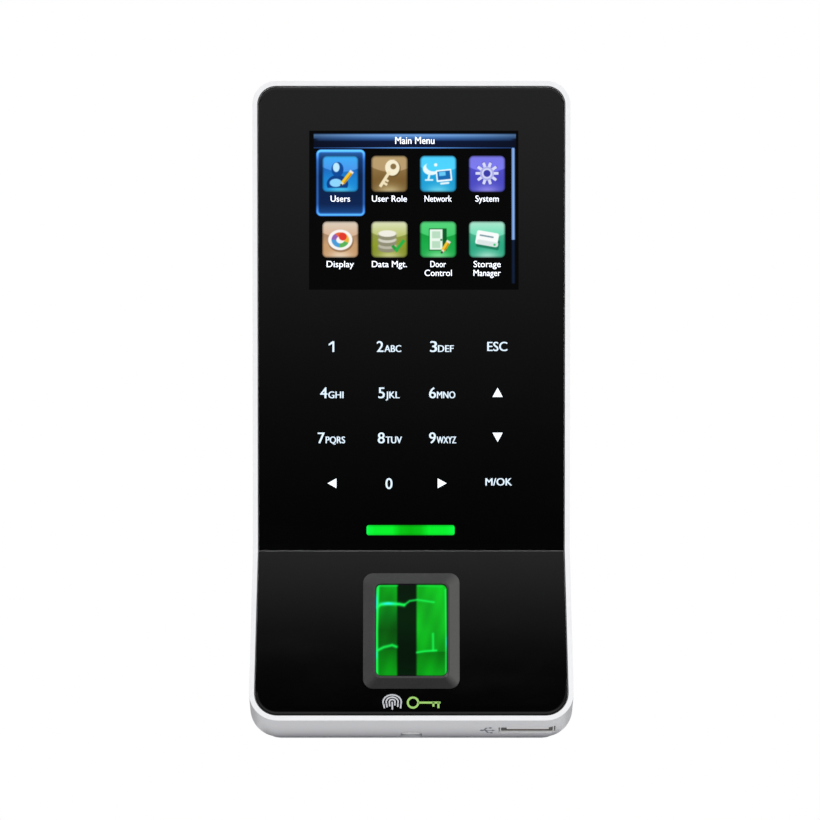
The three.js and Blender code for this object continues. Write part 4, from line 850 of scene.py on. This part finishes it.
def paintUsers(u, v):
    colour = tileBase(u, v, ["0e7fd0", "1784d4", "1c6cc0", "2fa0ea", "6fe4ff"])
    colour = over(colour, "0a3f86", disc(u, v, -0.7, -2.5, 2.6, 2.2) * (v > -3.3)[:, None])
    colour = over(colour, "0c4a98", disc(u, v, -0.7, 1.1, 1.45, 1.8))
    colour = over(colour, "bfeaff", disc(u, v, -1.0, 1.6, 0.8, 1.15))
    colour = over(colour, "8fd6ff", disc(u, v, -1.1, -2.2, 1.5, 1.0))
    return tileEdge(u, v, pencil(u, v, colour, 1.7, -0.8, 3.6, 52))


def paintRoles(u, v):
    colour = tileBase(u, v, ["6e5328", "7a5d30", "8b6f42", "a98d5e", "e8d9a8"])
    ring = disc(u, v, 0.7, 1.5, 1.75, 1.95) * (1 - disc(u, v, 0.95, 1.8, 0.7))
    colour = over(colour, "5a4420", disc(u, v, 0.85, 1.3, 1.9, 2.1) * 0.5)
    colour = over(colour, "f6ecd0", ring)
    colour = over(colour, "efe2bd", box(u, v, -1.1, -1.3, 4.4, 0.75, 0.2, 58))
    colour = over(colour, "efe2bd", box(u, v, -1.05, -2.4, 1.2, 0.6, 0.1, -32))
    colour = over(colour, "efe2bd", box(u, v, -0.65, -1.6, 1.0, 0.55, 0.1, -32))
    return tileEdge(u, v, colour)


def paintNetwork(u, v):
    colour = tileBase(u, v, ["0f8fc8", "1ba0d8", "21a8e0", "3cc0f0", "8ff0ff"])
    dish = disc(u, v, -1.7, 1.2, 2.0, 1.5) * (1 - disc(u, v, -1.0, 1.9, 1.9, 1.3))
    colour = over(colour, "eafaff", dish)
    colour = over(colour, "dff6ff", box(u, v, -2.2, -0.5, 0.5, 1.9, 0.1, -12))
    colour = over(colour, "dff6ff", box(u, v, -2.2, -1.5, 2.0, 0.4, 0.1))
    colour = over(colour, "f4fcff", disc(u, v, -0.6, 2.2, 0.4))
    colour = over(colour, "f6fdff", box(u, v, 1.4, -0.4, 3.8, 2.9, 0.25, 6))
    colour = over(colour, "1569b0", box(u, v, 1.4, -0.35, 3.1, 2.1, 0.1, 6))
    colour = over(colour, "66c8f4", box(u, v, 1.0, 0.0, 1.6, 1.0, 0.1, 6))
    return tileEdge(u, v, over(colour, "e4f4fb", box(u, v, 1.6, -2.3, 2.2, 0.5, 0.2, 6)))


def paintSystem(u, v):
    colour = tileBase(u, v, ["3c3fb4", "4a48c0", "4f4ec4", "6a68d6", "b0a8ff"])
    turn = np.arctan2(v - 0.1, u)
    reach = np.sqrt(u ** 2 + (v - 0.1) ** 2)
    tooth = 2.25 + 0.55 * np.clip(np.cos(10 * turn) * 2.2, -1, 1)
    colour = over(colour, "2a2a86", soft(reach - tooth - 0.15) * 0.6)
    colour = over(colour, "d9dcf8", soft(reach - tooth))
    colour = over(colour, "a9aee6", soft(np.abs(reach - 1.45) - 0.22))
    return tileEdge(u, v, over(colour, "3a3ca6", disc(u, v, 0, 0.1, 0.85)))


def paintDisplay(u, v):
    colour = tileBase(u, v, ["b98a5c", "c89c70", "a98668", "cdbfae", "fff2dc"])
    colour = over(colour, "6e4f34", disc(u, v, 0.1, -0.5, 3.1, 2.6) * 0.55)
    colour = over(colour, "f7f4f0", disc(u, v, 0, -0.1, 2.95, 2.5))
    turn = np.degrees(np.arctan2(v + 0.1, u))
    reach = np.sqrt((u / 1.15) ** 2 + (v + 0.1) ** 2)
    ring = soft(np.abs(reach - 1.35) - 0.5)
    for low, high, tone in [(-180, -100, "4a9ad6"), (-100, -20, "59b25a"), (-20, 60, "e9b53a"), (60, 130, "e2643a"), (130, 180, "8f62b4")]:
        colour = over(colour, tone, ring * ((turn >= low) & (turn < high))[:, None])
    return tileEdge(u, v, over(colour, "e03a2c", disc(u, v, 0.6, 0.7, 0.95)))


def paintData(u, v):
    colour = tileBase(u, v, ["6f7a1c", "8c9a2a", "8f9848", "d0d4b0", "eef0b8"])
    for level, tone in [(-1.9, "b9b7a4"), (-0.4, "d2d0c0"), (1.1, "eeece0")]:
        colour = over(colour, "8f8c74", disc(u, v, -0.5, level - 0.45, 2.2, 0.85))
        colour = over(colour, "8f8c74", box(u, v, -0.5, level, 4.4, 0.9))
        colour = over(colour, tone, disc(u, v, -0.5, level + 0.35, 2.2, 0.8))
    colour = over(colour, "1f9a3a", box(u, v, 1.35, -2.2, 1.9, 0.75, 0.15, -48))
    return tileEdge(u, v, over(colour, "27b045", box(u, v, 2.55, -1.5, 3.4, 0.75, 0.15, 52)))


def paintDoor(u, v):
    colour = tileBase(u, v, ["0f9a3c", "18aa48", "16a040", "46c46c", "a8ffb8"])
    colour = over(colour, "0a5c26", box(u, v, -0.1, 0.0, 4.3, 5.4, 0.15))
    colour = over(colour, "e9f7ea", box(u, v, -0.5, 0.0, 3.1, 5.0, 0.1))
    colour = over(colour, "b8dcbf", box(u, v, -0.5, 1.15, 2.0, 1.7, 0.1))
    colour = over(colour, "b8dcbf", box(u, v, -0.5, -1.25, 2.0, 1.7, 0.1))
    colour = over(colour, "2c7a3c", disc(u, v, 0.75, -0.1, 0.25))
    return tileEdge(u, v, pencil(u, v, colour, 1.9, -1.5, 2.6, 58))


def paintStorage(u, v):
    colour = tileBase(u, v, ["1d9a72", "2aa880", "45b08a", "9fd8c0", "d8fff0"])
    colour = over(colour, "14684c", box(u, v, 0.2, -1.0, 5.6, 2.4, 0.4, -10) * 0.7)
    colour = over(colour, "f8fbfa", box(u, v, 0.0, 0.2, 5.4, 3.4, 0.5, -10))
    colour = over(colour, "dbe6e4", box(u, v, 0.1, -0.9, 5.2, 1.1, 0.4, -10))
    colour = over(colour, "6f8f98", box(u, v, -0.1, 0.8, 3.4, 0.35, 0.1, -10))
    return tileEdge(u, v, over(colour, "35c06a", disc(u, v, 1.8, -1.3, 0.28)))


def makeDisplay():
    d = display
    patch("screen_window", *d["window"], 0, 3.0, paintWindow, upperFace, 0.012, "screenArt", "lcd_module")
    patch("screen_title_bar", *d["titleBar"], 0, 0.16, paintTitle, upperFace, 0.02, "screenArt", "lcd_module")
    patch("screen_rule", *d["rule"], 0, 0.24, paintRule, upperFace, 0.024, "screenArt", "lcd_module")
    patch("screen_scroll_bar", *d["scroll"], 0.3, 0.2, paintScroll, upperFace, 0.024, "screenArt", "lcd_module")
    patch("screen_selection", *d["selected"], 1.2, 0.16, paintSelected, upperFace, 0.02, "screenArt", "lcd_module")
    art = [[paintUsers, paintRoles, paintNetwork, paintSystem], [paintDisplay, paintData, paintDoor, paintStorage]]
    for r, (low, high) in enumerate(d["rows"]):
        for c, (left, right) in enumerate(d["columns"]):
            patch(f"screen_tile_{r * 4 + c + 1}", left, low, right, high, d["tileRadius"], d["step"],
                  art[r][c], upperFace, d["lift"], "screenArt", "lcd_module")
    labels = []
    for r, row in enumerate(d["labels"]):
        for c, text in enumerate(row):
            middle = sum(d["columns"][c]) / 2
            half = 0.47 * len(text)
            base = [85.0, 69.0][r]
            labels.append((text, middle - half, base, middle + half, base + 1.5, 0.012))
            if r and d["below"][c]:
                half = 0.47 * len(d["below"][c])
                labels.append((d["below"][c], middle - half, base - 2.15, middle + half, base - 0.65, 0.012))
    word("screen_labels", labels, upperFace, 0.03, 0.01, "screenInk", "lcd_module")
    word("screen_title", [("Main Menu", -3.9, 99.15, 5.6, 100.85, 0.02)], upperFace, 0.03, 0.01, "screenInk", "lcd_module")


makeDisplay()
print("display drawn")


# ---- touch keys, printed behind the glass

keys = {
    "lift": 0.015, "thick": 0.012, "digit": 2.6, "small": 1.62, "bold": 0.05,
    "rows": [49.62, 38.36, 27.4, 16.3],
    "digits": {
        "2": (0, -8.34, -6.78, "ABC", -2.48), "3": (0, 4.57, 6.2, "DEF", 10.23),
        "4": (1, -22.02, -20.34, "GHI", -16.43), "5": (1, -7.95, -6.46, "JKL", -2.87), "6": (1, 4.33, 5.95, "MNO", 10.6),
        "7": (2, -22.58, -20.95, "PQRS", -16.06), "8": (2, -8.07, -6.46, "TUV", -2.31), "9": (2, 4.33, 5.88, "WXYZ", 10.81),
        "0": (3, -6.2, -4.6, None, 0)},
    "words": {"esc": ("ESC", 18.42, 48.55, 23.2, 50.75), "ok": ("M/OK", 17.95, 15.85, 24.3, 17.6)},
    "one": [[(-19.1, 48.32), (-18.66, 48.32), (-18.66, 50.92), (-19.1, 50.92)],
            [(-20.0, 49.85), (-19.1, 50.35), (-19.1, 50.92), (-20.0, 50.25)]],
    "arrows": {
        "up": [(19.64, 37.35), (22.09, 37.35), (20.87, 39.6)],
        "down": [(19.64, 28.66), (20.87, 26.41), (22.09, 28.66)],
        "left": [(-20.24, 16.38), (-18.1, 15.2), (-18.1, 17.56)],
        "right": [(6.37, 15.2), (8.55, 16.38), (6.37, 17.56)]},
}


def makeKeys():
    k = keys
    for digit, (row, left, right, letters, end) in k["digits"].items():
        low = k["rows"][row] - k["digit"] / 2
        parts = [(digit, left, low, right, low + k["digit"], k["bold"])]
        if letters:
            parts.append((letters, right + 0.28, low, end, low + k["small"], k["bold"]))
        word(f"key_{digit}", parts, upperFace, k["lift"], k["thick"], "keyInk", "black_glass")
    for name, (text, x0, y0, x1, y1) in k["words"].items():
        word(f"key_{name}", [(text, x0, y0, x1, y1, k["bold"])], upperFace, k["lift"], k["thick"], "keyInk", "black_glass")
    inkShape("key_1", k["one"], upperFace, k["lift"], k["thick"], "keyInk", "black_glass")
    for name, corners in k["arrows"].items():
        inkShape(f"key_{name}", [corners], upperFace, k["lift"], k["thick"], "brightInk", "black_glass")


makeKeys()
print("keys printed")


# ---- status light, sensor window and the mark under it

statusLight = {"box": (-10.81, 3.78, 10.45, 6.23), "radius": 0.55, "ends": "12fa48", "middle": "07a812"}


def paintStatus(u, v):
    far = np.clip(np.abs(u) / 10.6, 0, 1)
    colour = fade(far, [(0, "01b80c"), (0.22, "02c412"), (0.42, "03f22a"), (0.8, "04f02e"), (0.95, "06fb3c"), (1, "06ff50")])
    shade = 1 - 0.16 * np.clip((np.abs(v) - 0.7) / 0.5, 0, 1)[:, None]
    return colour * shade


patch("status_light_window", *statusLight["box"], statusLight["radius"], 0.2, paintStatus, upperFace, 0.02,
      "lightArt", "status_glow")

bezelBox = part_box("sensor_bezel")
sensor = {"middle": -19.95, "width": 17.3, "height": 22.7, "radius": 1.35, "step": 0.14, "lift": 1.33}


def lineGlow(u, v, points, width, soften=0.4):
    # brightness near a bent line given by its points
    best = np.full(len(u), 9.0)
    for (x0, y0), (x1, y1) in zip(points, points[1:]):
        dx, dy = x1 - x0, y1 - y0
        t = np.clip(((u - x0) * dx + (v - y0) * dy) / (dx * dx + dy * dy), 0, 1)
        best = np.minimum(best, np.hypot(u - x0 - t * dx, v - y0 - t * dy))
    return np.exp(-(best / width) ** 2)[:, None]


def paintSensor(u, v):
    # lit prism: green fields lit by the sensor's own lamp, with painted reflections in them: lighter and darker fields,
    # a dark band down the middle as a painted shadow, and the bright lines of its edges as painted highlights
    top, low = v > 6.3, v < -5.0
    colour = np.tile(hexColour("0aa01a"), (len(u), 1))
    right = u > 1.0
    colour[right] = fade(v[right], [(-11, "0aa218"), (-5.4, "07780f"), (-5.2, "0a9c18"), (0, "0fb61f"), (7, "10b420"), (11, "0cbc1c")])
    left = u <= 1.0
    colour[left] = fade(v[left], [(-11, "0a9a16"), (-5, "076a0e"), (-4.6, "075c0e"), (0, "07540c"), (4.5, "08801a"), (6.4, "089014"), (11, "0aa81a")])
    wave = 0.07 * np.sin(u * 0.7 + 0.25 * v + 0.8) + 0.03 * np.sin(u * 1.9 - 0.6 * v)
    colour = colour * (1 + wave[:, None])
    bandEdge = np.minimum(u + 3.4, 1.25 - u)
    dark = np.clip(bandEdge / 0.5 + 0.5, 0, 1)[:, None]
    mottle = (0.5 + 0.5 * np.sin(v * 0.35 + 0.6))[:, None]
    shadow = hexColour("031a07") * (0.7 + 0.4 * mottle)
    colour = over(colour, shadow, dark * 0.97)
    # painted reflections: bright lines along the prism's edges
    glow = hexColour("18ff58")
    paintedStreaks = [
        ([(-8.4, 5.6), (-7.4, 6.3), (-5.6, 6.6), (-2.8, 6.4), (-1.8, 6.2)], 0.42, 1.0),
        ([(-1.6, 6.3), (-0.4, 7.2), (1.4, 7.5), (5.4, 6.9)], 0.28, 0.75),
        ([(-8.2, -5.0), (-6.6, -4.2), (-4.6, -3.7), (-3.6, -4.1)], 0.36, 0.85),
        ([(1.4, -5.5), (3.2, -5.2), (6.0, -5.0)], 0.28, 0.85),
        ([(5.2, -0.9), (5.25, -4.9)], 0.3, 0.75),
        ([(-8.25, -11), (-8.3, 0), (-8.0, 11)], 0.34, 1.0),
        ([(8.35, -11), (8.4, 0), (8.2, 10)], 0.24, 0.8),
        ([(-8.0, 10.9), (-3.4, 10.95)], 0.2, 0.6),
        ([(1.6, 11.0), (7.4, 10.8)], 0.2, 0.5),
    ]
    for points, width, power in paintedStreaks:
        colour = over(colour, glow, lineGlow(u, v, points, width) * power)
    # painted highlights: small hot spots of cyan light
    for x, y, rx, ry, power in [(-5.6, 6.55, 1.6, 0.35, 0.9), (-8.4, 7.0, 0.3, 2.2, 0.7), (8.45, -3.0, 0.2, 1.6, 0.6), (-8.4, -6.0, 0.3, 1.2, 0.5)]:
        paintedHotSpot = np.exp(-((u - x) / rx) ** 2 - ((v - y) / ry) ** 2)[:, None]
        colour = over(colour, "2cf8ff", paintedHotSpot * power)
    # painted shade: a dark rim along the window's edge
    a, b = np.abs(u) - (8.65 - 1.35), np.abs(v) - (11.35 - 1.35)
    away = np.sqrt(np.maximum(a, 0) ** 2 + np.maximum(b, 0) ** 2) + np.minimum(np.maximum(a, b), 0) - 1.35
    return over(colour, "1c0420", np.clip((away + 0.28) / 0.25, 0, 1)[:, None] * 0.85)


half = (sensor["width"] / 2, sensor["height"] / 2)
patch("sensor_window", -half[0], sensor["middle"] - half[1], half[0], sensor["middle"] + half[1],
      sensor["radius"], sensor["step"], paintSensor, lowerFace, sensor["lift"], "sensorArt", "prism_glass")

mark = {"middle": -37.5, "line": 0.36, "left": -4.6, "right": 2.6}


def makeMark():
    # a finger's ridges in silver with a small green key beside them
    m = mark
    ridges = []
    for i, (rx, ry) in enumerate([(0.55, 0.62), (1.15, 1.2), (1.75, 1.75)]):
        ridges += band(arc(m["left"], m["middle"] + 0.15, rx * 1.25, ry, -28 + 6 * i, 208 - 4 * i), m["line"])
        ridges += band([(m["left"] - rx * 1.2, m["middle"] - 0.2), (m["left"] - rx * 1.05, m["middle"] - 0.9 - 0.25 * i)], m["line"])
        ridges += band([(m["left"] + rx * 1.2, m["middle"] - 0.2), (m["left"] + rx * 1.15, m["middle"] - 0.7 - 0.35 * i)], m["line"])
    ridges += band([(m["left"], m["middle"] + 0.2), (m["left"] + 0.05, m["middle"] - 1.7)], m["line"])
    inkShape("mark_ridges", ridges, lowerFace, 0.012, 0.012, "silverInk", "black_glass")
    x, y = m["right"], m["middle"]
    keyArt = band(arc(x - 2.2, y, 1.25, 1.25, 0, 360, 28), 0.5)
    keyArt += band([(x - 1.0, y), (x + 4.4, y)], 0.5)
    keyArt += band([(x + 3.9, y + 0.1), (x + 3.9, y - 1.35)], 0.5)
    keyArt += band([(x + 2.7, y + 0.1), (x + 2.7, y - 1.0)], 0.5)
    inkShape("mark_key", keyArt, lowerFace, 0.012, 0.012, "greenInk", "black_glass")


makeMark()
print("status light, sensor window and mark made")


# ---- the bottom face: plug sign beside the memory stick socket

footSign = {"x": 18.3, "tall": 2.7, "line": 0.5}
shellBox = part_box("usb_socket_shell")


def makePlugSign():
    s = footSign
    middle = footFace.inverted() @ ((shellBox[0] + shellBox[1]) / 2)
    y = middle.y / mm
    x, tall = s["x"], s["tall"]
    shape = band([(x - 1.3, y), (x + 1.3, y)], s["line"])
    shape += [arc(x - 1.3, y, 0.45, 0.3 * tall, 0, 342, 19)]
    shape += band([(x - 0.8, y), (x - 0.2, y + tall), (x + 0.6, y + tall)], s["line"])
    shape += band([(x - 0.4, y), (x + 0.2, y - tall), (x + 0.9, y - tall)], s["line"])
    shape += [arc(x + 0.75, y + tall, 0.34, 0.3 * tall, 0, 342, 19)]
    shape += [[(x + 0.8, y - 1.25 * tall), (x + 1.35, y - 1.25 * tall), (x + 1.35, y - 0.75 * tall), (x + 0.8, y - 0.75 * tall)]]
    shape += [[(x + 1.2, y - 0.35 * tall), (x + 1.85, y), (x + 1.2, y + 0.35 * tall)]]
    inkShape("foot_plug_sign", shape, footFace, 0.012, 0.012, "greyInk", "white_housing")


makePlugSign()
print("bottom face marked")


# ---- the insert in the bottom socket, and small parts on the rear of the main board

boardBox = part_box("main_board")
boardParts = {
    "rearFace": boardBox[1].y / mm,
    "chips": [(-18.2, 9.6, 4.6, 3.4, 0.9), (1.6, 9.8, 6.2, 4.4, 1.0), (17.6, 8.4, 3.2, 4.8, 0.8)],
    "small": [(-21.8, 5.0), (-19.6, 5.0), (-17.4, 5.0), (-13.2, 8.6), (-13.2, 10.4), (-10.8, 8.6), (-10.8, 10.4),
              (-7.4, 6.2), (-5.2, 6.2), (-3.0, 5.4), (7.4, 6.6), (9.4, 6.6), (11.4, 6.6), (8.2, 11.4), (10.6, 11.4),
              (13.6, 9.4), (21.2, 5.2), (21.2, 7.2)],
    "smallSize": (1.3, 0.75, 0.5), "endSize": 0.3,
}


def makeBlocks(name, blocks, finish, slotName, soften=0.0):
    # boxes given by their low and high corners in mm, as one piece
    shape = bmesh.new()
    for low, high in blocks:
        middle = [(a + b) / 2 * mm for a, b in zip(low, high)]
        size = [(b - a) * mm for a, b in zip(low, high)]
        bmesh.ops.create_cube(shape, matrix=Matrix.LocRotScale(Vector(middle), None, Vector(size)))
    if soften:
        bmesh.ops.bevel(shape, geom=shape.edges[:], offset=soften * mm, segments=2, affect="EDGES")
    mesh = bpy.data.meshes.new(name)
    shape.to_mesh(mesh)
    shape.free()
    return place(name, mesh, finish, slotName)


def makeBoardParts():
    p = boardParts
    y = p["rearFace"]
    bodies, ends, legs = [], [], []
    for x, z in p["small"]:
        w, h, d = p["smallSize"]
        bodies.append(((x - w / 2 + p["endSize"], y, z - h / 2), (x + w / 2 - p["endSize"], y + d, z + h / 2)))
        for side in (-1, 1):
            edge = x + side * (w / 2 - p["endSize"] / 2)
            ends.append(((edge - p["endSize"] / 2, y, z - h / 2), (edge + p["endSize"] / 2, y + d + 0.02, z + h / 2)))
    chips = [((x - w / 2, y + 0.1, z - h / 2), (x + w / 2, y + d, z + h / 2)) for x, z, w, h, d in p["chips"]]
    for x, z, w, h, d in p["chips"]:
        for i in range(int(w / 0.8)):
            leg = x - w / 2 + 0.5 + i * 0.8
            legs.append(((leg - 0.14, y, z - h / 2 - 0.6), (leg + 0.14, y + 0.3, z + h / 2 + 0.6)))
    makeBlocks("board_small_parts", bodies, "smallPart", "circuit_board", 0.04)
    makeBlocks("board_part_ends", ends, "tinCan", "circuit_board", 0.03)
    makeBlocks("board_chips", chips, "blackEpoxy", "circuit_board", 0.08)
    makeBlocks("board_chip_legs", legs, "tinCan", "circuit_board", 0.02)


# across, toward the front and outward on the bottom face, in mm
socketInsert = {
    "bar": ((23.0, 2.7, -1.38), (33.2, 4.9, -0.42)),
    "gap": ((22.9, 0.75, -1.38), (33.2, 2.6, -0.5)),
    "ends": [((21.75, 0.75, -1.38), (22.85, 5.5, -0.5)), ((33.25, 0.75, -1.38), (34.05, 5.5, -0.5))],
}


def makeSocketInsert():
    s = socketInsert
    makeBlocks("usb_insert_bar", [s["bar"]], "insertPlastic", "tin_can", 0.06).data.transform(footFace)
    makeBlocks("usb_insert_gap", [s["gap"]], "tonguePlastic", "black_plastic", 0.06).data.transform(footFace)
    makeBlocks("usb_insert_ends", s["ends"], "blackPlastic", "black_plastic", 0.06).data.transform(footFace)


makeSocketInsert()
makeBoardParts()
print("board parts placed")


# ---- lights, floor and camera

studio = {
    "distance": 1.8, "elevation": -6.0, "aim": (-0.00032, -0.009, -0.0005), "lens": 326.0, "sensor": 36.0,
    "floor": -0.45, "keyPower": 1.6, "base": 0.7, "swing": 0.68, "towards": (0.1, -0.95, 0.1),
}


def makeWorld():
    # plain white studio: an even soft dome, with the dim bands that a black panel mirrors
    world = bpy.data.worlds.new("studio")
    scene.world = world
    world.use_nodes = True
    tree = world.node_tree
    tree.nodes.clear()
    out = tree.nodes.new("ShaderNodeOutputWorld")
    direction = addNode(tree, "TexCoord").outputs["Generated"]
    height = addNode(tree, "SeparateXYZ", {0: direction}).outputs[2]
    facing = addNode(tree, "VectorMath", {0: direction, 1: Vector(studio["towards"]).normalized()},
                     operation="DOT_PRODUCT").outputs["Value"]
    dome = mathNode(tree, "ADD", mathNode(tree, "MULTIPLY", facing, studio["swing"]), studio["base"])
    mirrored = addNode(tree, "ValToRGB", {0: height})
    bands = [(0.0, 0.3), (0.06, 0.06), (0.0868, 0.015), (0.0966, 0.045), (0.1063, 0.083), (0.1159, 0.15), (0.1255, 0.232),
             (0.1351, 0.325), (0.1447, 0.42), (0.19, 0.5), (0.3, 0.2), (0.35, 0.01), (0.3641, 0.015), (0.3671, 0.045),
             (0.3702, 0.09), (0.3733, 0.175), (0.3763, 0.29), (0.3794, 0.4), (0.3811, 0.51), (0.45, 0.7), (1.0, 0.8)]
    stops = mirrored.color_ramp.elements
    stops[0].position, stops[0].color = bands[0][0], (bands[0][1],) * 3 + (1,)
    stops[1].position, stops[1].color = bands[-1][0], (bands[-1][1],) * 3 + (1,)
    for position, level in bands[1:-1]:
        stops.new(position).color = (level, level, level, 1)
    path = addNode(tree, "LightPath")
    domeLight = addNode(tree, "Background", {0: (1.0, 1.0, 1.01, 1), 1: dome})
    mirrorLight = addNode(tree, "Background", {0: mirrored.outputs[0], 1: 1.0})
    seen = addNode(tree, "Background", {0: (1, 1, 1, 1), 1: 1.0})
    first = addNode(tree, "MixShader", {0: path.outputs["Is Glossy Ray"], 1: domeLight.outputs[0], 2: mirrorLight.outputs[0]})
    last = addNode(tree, "MixShader", {0: path.outputs["Is Camera Ray"], 1: first.outputs[0], 2: seen.outputs[0]})
    tree.links.new(last.outputs[0], out.inputs[0])


def softbox(name, spot, size, power):
    light = bpy.data.lights.new(name, "AREA")
    light.shape = "SQUARE"
    light.size = size
    light.energy = power
    lamp = bpy.data.objects.new(name, light)
    lamp.location = spot
    lamp.rotation_euler = (-Vector(spot)).to_track_quat("-Z", "Y").to_euler()
    scene.collection.objects.link(lamp)
    lamp.visible_glossy = False
    return lamp


def makeFloor():
    shape = bmesh.new()
    bmesh.ops.create_grid(shape, x_segments=8, y_segments=8, size=6.0)
    bmesh.ops.translate(shape, verts=shape.verts[:], vec=(0, 0, studio["floor"]))
    mesh = bpy.data.meshes.new("studio_floor")
    shape.to_mesh(mesh)
    shape.free()
    floor = bpy.data.objects.new("studio_floor", mesh)
    scene.collection.objects.link(floor)
    floor.data.materials.append(moulded("floorPaint", dict(
        colour=(0.86, 0.86, 0.86), shade=0.02, driftScale=2.0, grainScale=300.0, grainDepth=0.00002,
        roughness=0.7, spread=0.05, wear=0.0, dust=0.0)))
    floor.visible_diffuse = False


def makeCamera():
    data = bpy.data.cameras.new("view")
    data.lens = studio["lens"]
    data.sensor_width = studio["sensor"]
    data.clip_end = 20
    camera = bpy.data.objects.new("view", data)
    scene.collection.objects.link(camera)
    e = math.radians(studio["elevation"])
    back = Vector((0, -math.cos(e), math.sin(e)))
    camera.location = Vector(studio["aim"]) + back * studio["distance"]
    camera.rotation_mode = "QUATERNION"
    camera.rotation_quaternion = (-back).to_track_quat("-Z", "Y")
    scene.camera = camera


makeWorld()
softbox("key", (1.3, -0.6, 0.35), 0.5, studio["keyPower"])
makeFloor()
makeCamera()
print("studio set")
